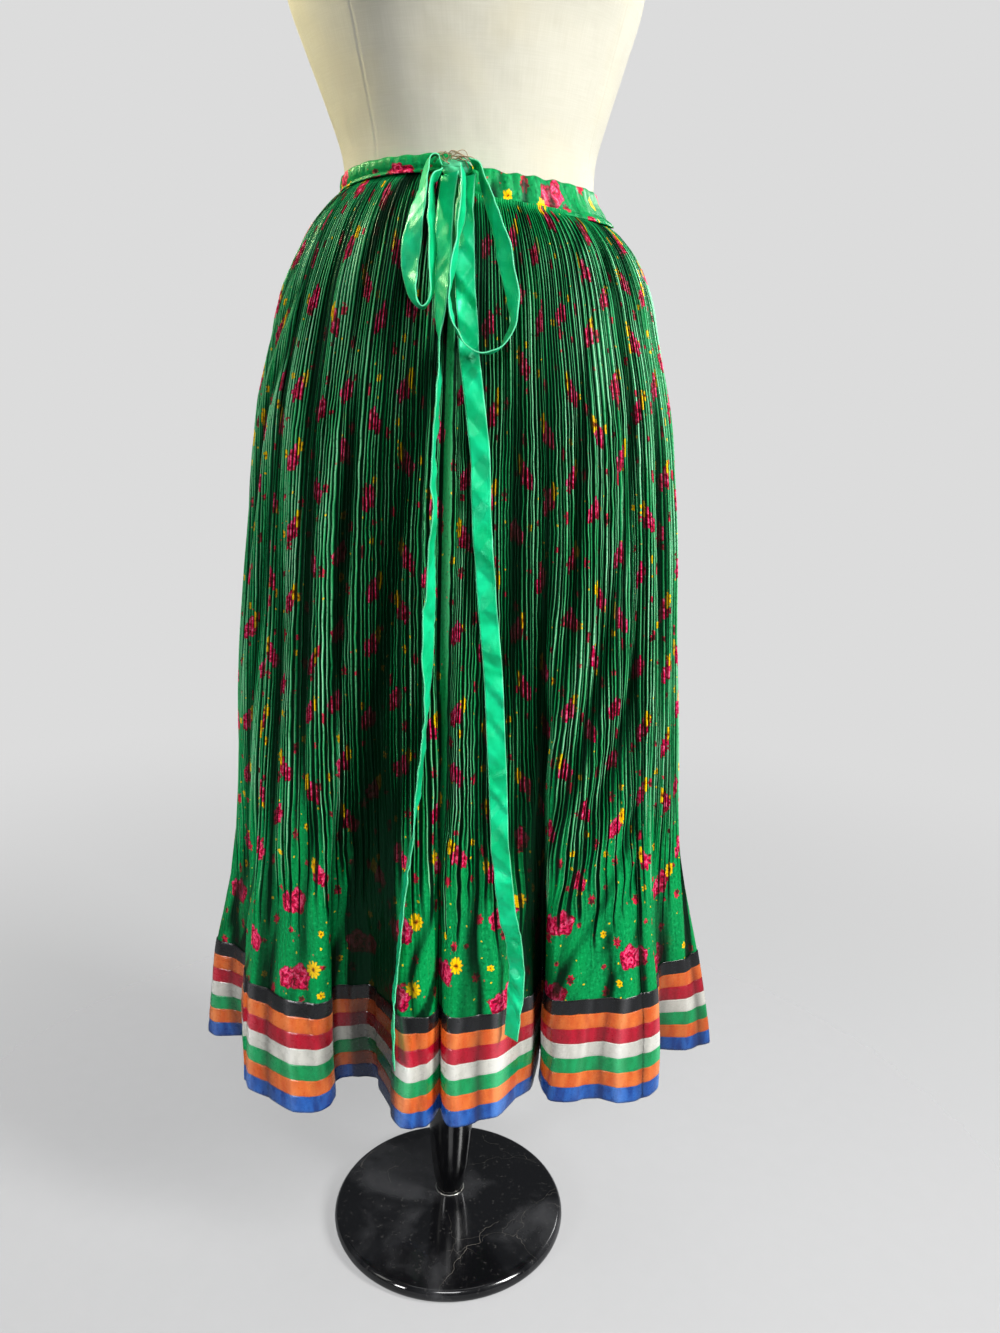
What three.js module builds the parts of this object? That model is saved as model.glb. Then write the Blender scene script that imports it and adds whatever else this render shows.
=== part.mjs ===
// A pleated folk skirt worn by a limbless dress form on a round base.
// Millimetres, +Z up, the front of the skirt towards -Y, the origin under the middle of the base.
import * as THREE from 'three';

// ---- Driving dimensions ----
const SEAM_GAP = 0.3;            // between pieces that are sewn, seated or tied together

const HEM = 212;                 // height of the hem above the floor
const WALL = 1.6;                // thickness of the pleated cloth
const PLEAT_DEPTH = 5;           // from the top of a pleat to its bottom
const FOLD_GROWTH = 1.8;         // a large fold deepens by this power on its way down
const COLUMN_STEP = 29;          // about, between the columns of points at the hem
const MOST_MITRE_COSINE = 0.5;   // a sharper corner isn't given its full thickness

const CASING = {
  foot: 1038, top: 1056,         // the pleats enter it at its foot
  gap: 10,                       // between its two ends, at the slit
  wall: 3,                       // two layers of cloth with the drawstring between them
  ruffle: 0.8, columns: 48,
  clear: 0.6,                    // from the dress form
};
const SLIT = { foot: 780, open: 7, spread: 8 };   // spread: columns that give way at the slit

const HEM_RIBBONS = [
  { name: 'black', colour: 0x1b1b20 }, { name: 'orange', colour: 0xd8702f },
  { name: 'red', colour: 0xa50f2d }, { name: 'white', colour: 0xe4e2d8 },
  { name: 'green', colour: 0x0f9452 }, { name: 'orange', colour: 0xd8702f },
  { name: 'blue', colour: 0x2d50b0 },
];
const HEM_RIBBON = { width: 15.9, thick: 1 };
const BAND_TOP = HEM + HEM_RIBBONS.length * HEM_RIBBON.width;
const PLEATS_FADE = { from: 430, to: BAND_TOP };

const DRAWSTRING = { width: 16, thick: 1.2 };
const KNOT = { x: -8, y: -94.2, z: 1048, wide: 11.6, deep: 6.7, tall: 7, around: 14, rows: 9 };

const BASE = { radius: 125, thick: 15, edge: 6, edgeSteps: 6, segments: 56 };
const ROUND_SEGMENTS = 32;       // round the leg, its ring and the neck cap

// Heights where the smooth line through the pleats is known, with its reach to the side,
// to the front and to the back of the middle of the form.
const SKIRT_SECTIONS = [
  { z: 212, side: 240, front: 100, back: 130 },
  { z: 260, side: 240, front: 101, back: 130 },
  { z: 320, side: 236, front: 103, back: 130 },
  { z: 375, side: 228.5, front: 106, back: 131 },
  { z: 428, side: 222, front: 110, back: 133 },
  { z: 480, side: 217, front: 113, back: 134 },
  { z: 580, side: 209.5, front: 118, back: 136 },
  { z: 680, side: 202, front: 121, back: 138 },
  { z: 775, side: 195, front: 122, back: 138 },
  { z: 865, side: 184.5, front: 120, back: 135 },
  { z: 950, side: 163.5, front: 112, back: 121 },
  { z: 990, side: 148, front: 105, back: 107 },
  { z: 1015, side: 134, front: 98, back: 97 },
  { z: 1038, side: 113.5, front: 90, back: 84 },
];

// The large folds at the hem, once round from the left side over the front. Each row is a crest,
// a shoulder or a valley at an angle from the middle of the front, with its reach from the smooth
// line at the hem, and the height from which it grows.
const FOLD_TURNS = [
  { angle: -95, reach: 22, from: 560 },
  { angle: -70, reach: -42, from: 600 },
  { angle: -56, reach: 12, from: 700 },
  { angle: -33, reach: 32, from: 760 },
  { angle: -26, reach: -28, from: 780 },
  { angle: -17.5, reach: -34, from: 800 },
  { angle: -13.5, reach: 16, from: 800 },
  { angle: -7, reach: 35, from: 800 },
  { angle: -4, reach: -18, from: 860 },
  { angle: -1, reach: 29, from: 800 },
  { angle: 6, reach: 28, from: 800 },
  { angle: 20.5, reach: -44, from: 820 },
  { angle: 25, reach: 0, from: 760 },
  { angle: 32, reach: 2, from: 760 },
  { angle: 50, reach: 24, from: 700 },
  { angle: 57, reach: 19, from: 640 },
  { angle: 70, reach: -40, from: 600 },
  { angle: 93, reach: 40, from: 560 },
  { angle: 108, reach: -26, from: 620 },
  { angle: 121, reach: 24, from: 700 },
  { angle: 134, reach: -26, from: 760 },
  { angle: 148, reach: 26, from: 760 },
  { angle: 160, reach: -30, from: 800 },
  { angle: 171, reach: 28, from: 760 },
  { angle: 180, reach: -24, from: 820 },
  { angle: 194, reach: 26, from: 760 },
  { angle: 211, reach: -28, from: 760 },
  { angle: 228, reach: 26, from: 700 },
  { angle: 247, reach: -28, from: 620 },
];

// The cloth comes in three widths. The front one is slit, and the two back ones meet in a seam.
const SEAMS = { left: -56, slit: -4, right: 50, back: 180 };

// Heights of the rings of points in the pleated part, from the top down.
const PLEATED_RINGS = [CASING.foot - SEAM_GAP, 992, 940, 855, 700, 540, 420];

// The dress form, from its foot up, with its reach to the side, to the front and to the back.
const FORM_SECTIONS = [
  { z: 724, side: 128, front: 80, back: 90 },
  { z: 734, side: 152, front: 95, back: 108 },
  { z: 765, side: 168, front: 104, back: 119 },
  { z: 810, side: 177, front: 109, back: 126 },
  { z: 860, side: 178, front: 111, back: 126 },
  { z: 910, side: 167, front: 107, back: 118 },
  { z: 960, side: 149, front: 101, back: 104 },
  { z: 1000, side: 128, front: 93, back: 89 },
  { z: 1024, side: 113.5, front: 87.2, back: 81 },
  { z: 1038, side: 108.2, front: 85, back: 78.2 },
  { z: 1047, side: 106.8, front: 84.2, back: 77.2 },
  { z: 1056, side: 106.8, front: 84, back: 77 },
  { z: 1075, side: 109, front: 84.5, back: 77.5 },
  { z: 1110, side: 120, front: 88, back: 81 },
  { z: 1150, side: 134, front: 94, back: 87 },
  { z: 1190, side: 147, front: 101, back: 93 },
  { z: 1240, side: 154, front: 106, back: 98 },
  { z: 1290, side: 153, front: 101, back: 99 },
  { z: 1340, side: 153, front: 89, back: 97 },
  { z: 1380, side: 162, front: 77, back: 88 },
  { z: 1408, side: 158, front: 66, back: 74 },
  { z: 1430, side: 125, front: 56, back: 62 },
  { z: 1450, side: 78, front: 49, back: 52 },
  { z: 1470, side: 55, front: 45, back: 47 },
  { z: 1500, side: 50, front: 43, back: 45 },
];
const BUST = { middle: 12, angle: 32, width: 20, height: 1240, tall: 48, out: 22 };
const FORM_COLUMNS = 36;

// The stand's turned pieces, each from the foot up.
const LEG_BEHIND = 20;           // the leg stands behind the middle of the base
const LEG_FOOT = BASE.thick + SEAM_GAP;
const LEG_TOP = FORM_SECTIONS[0].z - SEAM_GAP;
const LEG_OUTLINE = [
  { radius: 14, z: LEG_FOOT },
  { radius: 17.6, z: 33 },
  { radius: 20.6, z: 54 },
  { radius: 23.3, z: 90 },
  { radius: 25.5, z: 150 },
  { radius: 27.5, z: 260 },
  { radius: 30, z: 480 },
  { radius: 32, z: LEG_TOP - 30 },
  { radius: 44, z: LEG_TOP - 24 },
  { radius: 48, z: LEG_TOP - 8 },
  { radius: 48, z: LEG_TOP },
];
const FOOT_RING_OUTLINE = [
  { radius: 14.6, z: LEG_FOOT },
  { radius: 16.8, z: LEG_FOOT },
  { radius: 16.2, z: LEG_FOOT + 1.6 },
  { radius: 14.6, z: LEG_FOOT + 1.6 },
  { radius: 14.6, z: LEG_FOOT },
];
const NECK = FORM_SECTIONS.at(-1).z + SEAM_GAP;
const NECK_CAP_OUTLINE = [
  { radius: 45, z: NECK },
  { radius: 45, z: NECK + 7 },
  { radius: 40, z: NECK + 12 },
];

// The drawstring's stretches. Each row is a place on the middle of the ribbon, and its turn in
// degrees from facing the front to standing on edge.
const CORD_ROUTES = {
  drawstring_loop_left: [
    { x: -19, y: -97.4, z: 1050, turn: 80 }, { x: -23.5, y: -99.5, z: 1055.5, turn: 85 },
    { x: -29, y: -101, z: 1053, turn: 80 }, { x: -32, y: -104.5, z: 1042, turn: 72 },
    { x: -34, y: -111, z: 1029, turn: 62 }, { x: -37, y: -119, z: 1011, turn: 42 },
    { x: -40, y: -124, z: 992, turn: 22 }, { x: -41, y: -128, z: 972, turn: 32 },
    { x: -39.5, y: -131, z: 956, turn: 58 }, { x: -35.5, y: -133.5, z: 945, turn: 80 },
    { x: -30, y: -134.5, z: 941.5, turn: 88 }, { x: -25.5, y: -134.5, z: 948, turn: 88 },
    { x: -24, y: -132.5, z: 962, turn: 80 }, { x: -24.5, y: -129, z: 980, turn: 75 },
    { x: -25, y: -123.5, z: 998, turn: 75 }, { x: -26, y: -117, z: 1015, turn: 75 },
    { x: -26.5, y: -110, z: 1029, turn: 80 }, { x: -25, y: -104.5, z: 1037.5, turn: 82 },
    { x: -20.8, y: -100.5, z: 1042, turn: 84 },
  ],
  drawstring_loop_right: [
    { x: 3.4, y: -97.2, z: 1051.2, turn: 80 }, { x: 9, y: -100, z: 1048, turn: 80 },
    { x: 12.5, y: -104, z: 1038, turn: 75 }, { x: 19, y: -113, z: 1018, turn: 65 },
    { x: 25, y: -119, z: 1003, turn: 55 }, { x: 30, y: -124, z: 985, turn: 45 },
    { x: 34, y: -127, z: 967, turn: 45 }, { x: 38.5, y: -130, z: 949, turn: 60 },
    { x: 38.5, y: -132, z: 931, turn: 75 }, { x: 29, y: -135, z: 914, turn: 85 },
    { x: 15, y: -136, z: 909.5, turn: 90 }, { x: 2, y: -136.5, z: 916, turn: 90 },
    { x: -6, y: -136.5, z: 929, turn: 88 }, { x: -10, y: -136, z: 944, turn: 85 },
    { x: -9.5, y: -134, z: 960, turn: 85 }, { x: -6.5, y: -130, z: 981, turn: 80 },
    { x: -4, y: -124.5, z: 1002, turn: 80 }, { x: -2, y: -118.5, z: 1020, turn: 80 },
    { x: -2, y: -113, z: 1035, turn: 80 }, { x: -3, y: -110, z: 1045, turn: 80 },
  ],
  drawstring_tail_left: [
    { x: -13, y: -98.9, z: 1043.3, turn: 35 }, { x: -14.5, y: -106, z: 1028, turn: 35 },
    { x: -16, y: -112, z: 1010, turn: 35 }, { x: -16.5, y: -116, z: 990, turn: 35 },
    { x: -17, y: -119, z: 968, turn: 40 }, { x: -17.5, y: -122.5, z: 948, turn: 52 },
    { x: -18, y: -126.5, z: 930, turn: 65 }, { x: -17.5, y: -130, z: 912, turn: 75 },
    { x: -17.5, y: -133, z: 889, turn: 78 }, { x: -19, y: -135.5, z: 865, turn: 78 },
    { x: -20.5, y: -136.5, z: 842, turn: 78 }, { x: -21, y: -137, z: 822, turn: 80 },
    { x: -19.5, y: -137.5, z: 781, turn: 80 }, { x: -22, y: -137, z: 756, turn: 78 },
    { x: -21.5, y: -136, z: 731, turn: 72 }, { x: -23, y: -135, z: 696, turn: 55 },
    { x: -23.5, y: -134.5, z: 671, turn: 58 }, { x: -24, y: -134.5, z: 639, turn: 76 },
    { x: -24, y: -134, z: 615, turn: 80 }, { x: -27, y: -133.5, z: 584, turn: 80 },
    { x: -30, y: -133, z: 550, turn: 72 }, { x: -33.5, y: -133, z: 515, turn: 76 },
    { x: -38, y: -134, z: 480, turn: 70 }, { x: -43, y: -134.5, z: 441, turn: 68 },
    { x: -46, y: -134.5, z: 401, turn: 68 }, { x: -49, y: -134.5, z: 361, turn: 66 },
    { x: -51, y: -136, z: 320, turn: 62 }, { x: -50, y: -138, z: 281, turn: 60 },
  ],
  drawstring_tail_right: [
    { x: 1, y: -101, z: 1041.5, turn: 40 }, { x: 0, y: -104, z: 1030, turn: 40 },
    { x: -1, y: -108, z: 1013, turn: 30 }, { x: -0.5, y: -112.5, z: 990, turn: 15 },
    { x: 1, y: -117, z: 957, turn: 0 }, { x: 4, y: -119.5, z: 928, turn: 0 },
    { x: 5, y: -121.5, z: 910, turn: 0 }, { x: 8, y: -124, z: 889, turn: 0 },
    { x: 12, y: -126, z: 860, turn: 0 }, { x: 16, y: -127.5, z: 827, turn: 5 },
    { x: 18, y: -128.5, z: 782, turn: 5 }, { x: 22, y: -128, z: 741, turn: 8 },
    { x: 25, y: -127.5, z: 706, turn: 5 }, { x: 31, y: -126.5, z: 652, turn: 0 },
    { x: 35, y: -126.3, z: 595, turn: 0 }, { x: 38, y: -125.6, z: 552, turn: 0 },
    { x: 41, y: -124.8, z: 499, turn: 5 }, { x: 44.5, y: -123.4, z: 470, turn: 8 },
    { x: 50, y: -121.5, z: 428, turn: 10 }, { x: 56, y: -119.5, z: 403, turn: 15 },
    { x: 60.5, y: -119, z: 371, turn: 20 }, { x: 59.5, y: -119, z: 338, turn: 20 },
    { x: 57.5, y: -119.5, z: 300, turn: 30 },
  ],
};

// ---- Small helpers ----
const mix = (a, b, f) => a + (b - a) * f;
const clamp01 = (f) => Math.min(1, Math.max(0, f));
const radians = THREE.MathUtils.degToRad;

/** From 0 to 1 with level ends. */
const ease = (f) => (1 - Math.cos(Math.PI * clamp01(f))) / 2;

/** The row of a table of sections at a height, on a smooth curve through the rows. */
function sectionAt(table, z) {
  const i = Math.max(0, table.findIndex((row, k) => k === table.length - 2 || z <= table[k + 1].z));
  const [a, b] = [table[i], table[i + 1]];
  const before = table[Math.max(0, i - 1)];
  const after = table[Math.min(table.length - 1, i + 2)];
  const f = clamp01((z - a.z) / (b.z - a.z));
  const value = (key) => {
    const startSlope = (b[key] - before[key]) / (b.z - before.z) * (b.z - a.z);
    const endSlope = (after[key] - a[key]) / (after.z - a.z) * (b.z - a.z);
    return a[key] * (2 * f ** 3 - 3 * f ** 2 + 1) + startSlope * (f ** 3 - 2 * f ** 2 + f)
      + b[key] * (3 * f ** 2 - 2 * f ** 3) + endSlope * (f ** 3 - f ** 2);
  };
  return { side: value('side'), front: value('front'), back: value('back') };
}

/** A point on an oval section, angle in degrees from the middle of the front to the right. */
function onOval({ side, front, back }, angle, out = 0) {
  const turn = radians(angle);
  const depth = Math.cos(turn) > 0 ? front : back;
  const normal = new THREE.Vector2(Math.sin(turn) * depth, -Math.cos(turn) * side).normalize();
  return new THREE.Vector2(Math.sin(turn) * side, -Math.cos(turn) * depth)
    .addScaledVector(normal, out);
}

// ---- The skirt's smooth line, its folds and its pleats ----

const firstTurn = FOLD_TURNS[0];
const allTurns = [...FOLD_TURNS, { ...firstTurn, angle: firstTurn.angle + 360 }];

/** How far the folds reach from the smooth line at an angle and a height. */
function foldReach(angle, z) {
  const start = firstTurn.angle;
  const turned = THREE.MathUtils.euclideanModulo(angle - start, 360) + start;
  const i = allTurns.findIndex((_, k) => turned < allTurns[k + 1].angle);
  const grown = ({ reach, from }) => reach * clamp01((from - z) / (from - HEM)) ** FOLD_GROWTH;
  const [a, b] = [allTurns[i], allTurns[i + 1]];
  return mix(grown(a), grown(b), ease((turned - a.angle) / (b.angle - a.angle)));
}

/** A point on the smooth line with its folds, looking down. */
function onSkirt(angle, z) {
  return onOval(sectionAt(SKIRT_SECTIONS, z), angle, foldReach(angle, z));
}

/** The angles of the hem's columns, once round: one at each turn, and more on the long slopes. */
const hemAngles = FOLD_TURNS.flatMap(({ angle }, i) => {
  const next = allTurns[i + 1].angle;
  const length = onSkirt(angle, HEM).distanceTo(onSkirt(next, HEM));
  const steps = Math.max(1, Math.round(length / COLUMN_STEP));
  return Array.from({ length: steps }, (_, k) => mix(angle, next, k / steps));
});

/** The pleated part has twice as many columns: each second one is the top of a pleat. */
const pleatAngles = hemAngles.flatMap((angle, i) => {
  const next = i + 1 < hemAngles.length ? hemAngles[i + 1] : hemAngles[0] + 360;
  return [angle, (angle + next) / 2];
});

const pleatHeight = (z) => PLEAT_DEPTH
  * clamp01((z - PLEATS_FADE.to) / (PLEATS_FADE.from - PLEATS_FADE.to));

/** One ring of the smooth line for a list of angles, with the way out of each of its corners. */
function smoothRing(angles, z) {
  const points = angles.map((angle) => onSkirt(angle, z));
  const count = points.length;
  const normals = points.map((point, i) => {
    const before = point.clone().sub(points[(i + count - 1) % count]).normalize();
    const after = points[(i + 1) % count].clone().sub(point).normalize();
    const way = before.clone().add(after).normalize();
    const stretch = 1 / Math.max(MOST_MITRE_COSINE, way.dot(after));
    return new THREE.Vector2(way.y, -way.x).multiplyScalar(stretch);
  });
  return { points, normals };
}

/** The column nearest an angle. */
function columnAt(angles, angle) {
  const away = (a) => Math.abs(THREE.MathUtils.euclideanModulo(a - angle + 180, 360) - 180);
  return angles.reduce((best, a, i) => (away(a) < away(angles[best]) ? i : best), 0);
}

/** The columns of a width of cloth from one seam to the next, in the hem's count. */
function columnsBetween(startAngle, endAngle) {
  const start = columnAt(hemAngles, startAngle);
  const end = columnAt(hemAngles, endAngle);
  return { start, count: THREE.MathUtils.euclideanModulo(end - start, hemAngles.length) };
}

/**
 * One row of a wall: its outer and inner points at one height, between two seams.
 * detail is 2 where the row has the pleats' columns and 1 where it has the hem's.
 * out and thick are measured from the smooth line; the slit opens the ends that meet there.
 */
function wallRow({ start, count }, z, detail, out, thick, slitSide = 0) {
  const angles = detail === 2 ? pleatAngles : hemAngles;
  const { points, normals } = smoothRing(angles, z);
  const total = angles.length;
  const at = (i) => (i + total) % total;
  const size = count * detail;
  const first = start * detail;
  const outer = [];
  const inner = [];
  for (let k = 0; k <= size; k += 1) {
    const i = at(first + k);
    const pleat = detail === 2 ? pleatHeight(z) * (k % 2 ? 0.5 : -0.5) : 0;
    const normal = normals[i];
    const way = new THREE.Vector2(-normal.y, normal.x);
    const point = points[i].clone().addScaledVector(normal, out + pleat)
      .addScaledVector(way, slitShift(slitSide, slitSide < 0 ? size - k : k, z));
    outer.push(new THREE.Vector3(point.x, point.y, z));
    const within = point.clone().addScaledVector(normal, -thick);
    inner.push(new THREE.Vector3(within.x, within.y, z));
  }
  for (const line of [outer, inner]) {
    trimTowards(line[0], line[1]);
    trimTowards(line[size], line[size - 1]);
  }
  return { outer, inner };
}

/** Moves the end of a line of points back by half a seam's gap. */
function trimTowards(end, next) {
  end.lerp(next, SEAM_GAP / 2 / end.distanceTo(next));
}

/** How far a column gives way where the slit stands open above its foot. */
function slitShift(side, columnsFromSlit, z) {
  if (!side) return 0;
  const open = SLIT.open / 2 * clamp01((z - SLIT.foot) / (CASING.top - SLIT.foot));
  return side * open * clamp01(1 - columnsFromSlit / SLIT.spread);
}

/** A closed body from flat lists of corners and triangles. */
function bodyFrom(corners, triangles) {
  const geometry = new THREE.BufferGeometry();
  geometry.setAttribute('position',
    new THREE.Float32BufferAttribute(corners.flatMap((p) => [p.x, p.y, p.z]), 3));
  geometry.setIndex(triangles.flat());
  geometry.computeVertexNormals();
  return geometry;
}

/**
 * A wall from rows of outer and inner points, from the top down. Two rows have the same count
 * of points, or the upper one has twice the steps of the lower one.
 */
function wallBody(rows) {
  const corners = [];
  const triangles = [];
  const starts = rows.map(({ outer, inner }) => {
    const start = { outer: corners.length, inner: corners.length + outer.length, size: outer.length };
    corners.push(...outer, ...inner);
    return start;
  });
  const quad = (a, b, c, d) => triangles.push([a, b, c], [a, c, d]);
  for (let r = 0; r + 1 < starts.length; r += 1) {
    const [up, low] = [starts[r], starts[r + 1]];
    const same = up.size === low.size;
    for (let k = 0; k + 1 < low.size; k += 1) {
      if (same) {
        quad(low.outer + k, low.outer + k + 1, up.outer + k + 1, up.outer + k);
        quad(low.inner + k, up.inner + k, up.inner + k + 1, low.inner + k + 1);
      } else {
        const [u, l, v, m] = [up.outer + 2 * k, low.outer + k, up.inner + 2 * k, low.inner + k];
        triangles.push([u, l, u + 1], [u + 1, l, l + 1], [u + 1, l + 1, u + 2]);
        triangles.push([v, v + 1, m], [v + 1, m + 1, m], [v + 1, v + 2, m + 1]);
      }
    }
    const [upEnd, lowEnd] = [up.size - 1, low.size - 1];
    quad(low.inner, low.outer, up.outer, up.inner);
    quad(low.outer + lowEnd, low.inner + lowEnd, up.inner + upEnd, up.outer + upEnd);
  }
  const capTo = (row, top) => {
    for (let k = 0; k + 1 < row.size; k += 1) {
      const ring = [row.outer + k, row.outer + k + 1, row.inner + k + 1, row.inner + k];
      quad(...(top ? ring : ring.reverse()));
    }
  };
  capTo(starts[0], true);
  capTo(starts.at(-1), false);
  return bodyFrom(corners, triangles);
}

/** The edges of the hem's ribbons, from the top down. */
const bandHeights = HEM_RIBBONS.map((_, i) => BAND_TOP - i * HEM_RIBBON.width).concat(HEM);

/** A width of pleated cloth between two seams, down to the hem. */
function panelBody(seam, slitSide) {
  const rows = PLEATED_RINGS.map((z) => wallRow(seam, z, 2, 0, WALL, slitSide));
  rows.push(...bandHeights.map((z) => wallRow(seam, z, 1, 0, WALL, slitSide)));
  return wallBody(rows);
}

/** A ribbon lies on the hem's points, moved out, in one length from the slit's valley round to it. */
function hemRibbonBody(i) {
  const start = columnAt(hemAngles, SEAMS.slit);
  const seam = { start, count: hemAngles.length };
  const { thick } = HEM_RIBBON;
  const out = SEAM_GAP + thick;
  const upper = wallRow(seam, bandHeights[i] - SEAM_GAP / 2, 1, out, thick);
  const lower = wallRow(seam, bandHeights[i + 1] + SEAM_GAP / 2, 1, out, thick);
  return wallBody([upper, lower]);
}

// ---- The casing and the drawstring ----

/** The casing lies round the form's waist, ruffled, and its ends stay apart at the slit. */
function casingBody() {
  const { foot, top, gap, wall, ruffle, columns, clear } = CASING;
  const halfGap = THREE.MathUtils.radToDeg(gap / 2 / sectionAt(FORM_SECTIONS, foot).side);
  const start = SEAMS.slit + halfGap;
  const sweep = 360 - 2 * halfGap;
  return wallBody([top, foot].map((z) => {
    const section = sectionAt(FORM_SECTIONS, z);
    const line = (out, rise) => Array.from({ length: columns + 1 }, (_, k) => {
      const point = onOval(section, start + sweep * k / columns, out + rise * (k % 2));
      return new THREE.Vector3(point.x, point.y, z);
    });
    return { outer: line(clear + wall, ruffle), inner: line(clear, 0) };
  }));
}

/**
 * A flat ribbon along a route, closed at both ends. Its two faces are cut along the same diagonal,
 * so that they stay apart where it twists.
 */
function ribbonBody(route) {
  const places = route.map(({ x, y, z }) => new THREE.Vector3(x, y, z));
  const forward = new THREE.Vector3(0, -1, 0);
  const corners = [];
  places.forEach((place, i) => {
    const before = places[Math.max(0, i - 1)];
    const after = places[Math.min(places.length - 1, i + 1)];
    const along = after.clone().sub(before).normalize();
    const face = forward.clone().addScaledVector(along, -forward.dot(along)).normalize();
    face.applyAxisAngle(along, radians(route[i].turn));
    const across = along.clone().cross(face);
    for (const [w, t] of [[-1, 1], [1, 1], [1, -1], [-1, -1]]) {
      corners.push(place.clone().addScaledVector(across, w * DRAWSTRING.width / 2)
        .addScaledVector(face, t * DRAWSTRING.thick / 2));
    }
  });
  const triangles = [[0, 2, 1], [0, 3, 2]];
  for (let i = 0; i + 1 < places.length; i += 1) {
    for (let side = 0; side < 4; side += 1) {
      const [a, b] = [4 * i + side, 4 * i + (side + 1) % 4];
      if (side === 2) triangles.push([a, b, a + 4], [b, b + 4, a + 4]);
      else triangles.push([a, b + 4, a + 4], [a, b, b + 4]);
    }
  }
  const end = 4 * (places.length - 1);
  triangles.push([end, end + 1, end + 2], [end, end + 2, end + 3]);
  return bodyFrom(corners, triangles);
}

function knotBody() {
  const knot = new THREE.SphereGeometry(1, KNOT.around, KNOT.rows);
  return knot.scale(KNOT.wide, KNOT.deep, KNOT.tall);
}

// ---- The dress form and its stand ----

/** The form is turned a little on its leg, so its bust isn't quite above the skirt's slit. */
function bustReach(angle, z) {
  const near = (a, width) => Math.exp(-((a / width) ** 2));
  const fromMiddle = Math.abs(angle - BUST.middle);
  const across = near(fromMiddle - BUST.angle, BUST.width) + near(fromMiddle + BUST.angle, BUST.width);
  return BUST.out * across * near(z - BUST.height, BUST.tall);
}

function formBody() {
  const corners = [];
  const triangles = [];
  FORM_SECTIONS.forEach((row) => {
    for (let k = 0; k < FORM_COLUMNS; k += 1) {
      const angle = 360 * k / FORM_COLUMNS - 180;
      const point = onOval(row, angle, bustReach(angle, row.z));
      corners.push(new THREE.Vector3(point.x, point.y, row.z));
    }
  });
  const rows = FORM_SECTIONS.length;
  for (let r = 0; r + 1 < rows; r += 1) {
    for (let k = 0; k < FORM_COLUMNS; k += 1) {
      const [a, b] = [r * FORM_COLUMNS + k, r * FORM_COLUMNS + (k + 1) % FORM_COLUMNS];
      triangles.push([a, b, b + FORM_COLUMNS], [a, b + FORM_COLUMNS, a + FORM_COLUMNS]);
    }
  }
  const top = (rows - 1) * FORM_COLUMNS;
  for (let k = 1; k + 1 < FORM_COLUMNS; k += 1) {
    triangles.push([0, k + 1, k], [top, top + k, top + k + 1]);
  }
  return bodyFrom(corners, triangles);
}

/** A turned body from an outline of radius and height that closes on itself. */
function turned(outline, segments) {
  const points = outline.map(({ radius, z }) => new THREE.Vector2(radius, z));
  return new THREE.LatheGeometry(points, segments).rotateX(Math.PI / 2);
}

/** The same from an outline that is flat at its foot and its top, in to the axis. */
function turnedSolid(outline, segments) {
  const ends = [outline[0], outline.at(-1)].map(({ z }) => ({ radius: 0, z }));
  return turned([ends[0], ...outline, ends[1]], segments);
}

/** The base is a disc with a rounded edge. */
function baseBody() {
  const { radius, thick, edge, edgeSteps, segments } = BASE;
  const outline = Array.from({ length: edgeSteps + 1 }, (_, i) => {
    const turn = Math.PI * (i / edgeSteps - 0.5);
    return { radius: radius - edge + edge * Math.cos(turn), z: thick / 2 * (1 + Math.sin(turn)) };
  });
  return turnedSolid(outline, segments);
}

// ---- Assembly ----

const BLACK = 0x0c0c0e;
const BRIGHT_METAL = 0xb4b2aa;
const LINEN = 0xdcd8c8;
const PRINTED_GREEN = 0x14804e;
const SATIN_GREEN = 0x17b878;

function add(group, name, geometry, colour, roughness, metalness = 0) {
  const material = new THREE.MeshStandardMaterial({ color: colour, roughness, metalness });
  const mesh = new THREE.Mesh(geometry, material);
  mesh.name = name;
  group.add(mesh);
  return mesh;
}

const stand = new THREE.Group();
add(stand, 'base_disc', baseBody(), BLACK, 0.15);
const footRing = turned(FOOT_RING_OUTLINE, ROUND_SEGMENTS).translate(0, LEG_BEHIND, 0);
add(stand, 'foot_ring', footRing, BRIGHT_METAL, 0.3, 0.8);
const leg = turnedSolid(LEG_OUTLINE, ROUND_SEGMENTS).translate(0, LEG_BEHIND, 0);
add(stand, 'leg', leg, BLACK, 0.2);
add(stand, 'form_body', formBody(), LINEN, 0.9);
add(stand, 'neck_cap', turnedSolid(NECK_CAP_OUTLINE, ROUND_SEGMENTS), BLACK, 0.2);

const skirt = new THREE.Group();
const PANELS = [
  { name: 'front_left', from: SEAMS.left, to: SEAMS.slit, slitSide: -1 },
  { name: 'front_right', from: SEAMS.slit, to: SEAMS.right, slitSide: 1 },
  { name: 'back_right', from: SEAMS.right, to: SEAMS.back, slitSide: 0 },
  { name: 'back_left', from: SEAMS.back, to: SEAMS.left, slitSide: 0 },
];
for (const { name, from, to, slitSide } of PANELS) {
  add(skirt, name, panelBody(columnsBetween(from, to), slitSide), PRINTED_GREEN, 0.6);
}
add(skirt, 'waist_casing', casingBody(), PRINTED_GREEN, 0.6);
HEM_RIBBONS.forEach(({ name, colour }, i) => {
  add(skirt, `hem_ribbon_${i + 1}_${name}`, hemRibbonBody(i), colour, 0.35);
});

const drawstring = new THREE.Group();
const knot = add(drawstring, 'drawstring_knot', knotBody(), SATIN_GREEN, 0.35);
knot.position.set(KNOT.x, KNOT.y, KNOT.z);
for (const [name, route] of Object.entries(CORD_ROUTES)) {
  add(drawstring, name, ribbonBody(route), SATIN_GREEN, 0.35);
}

const object = new THREE.Group();
object.add(stand, skirt, drawstring);

export default object;
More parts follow.
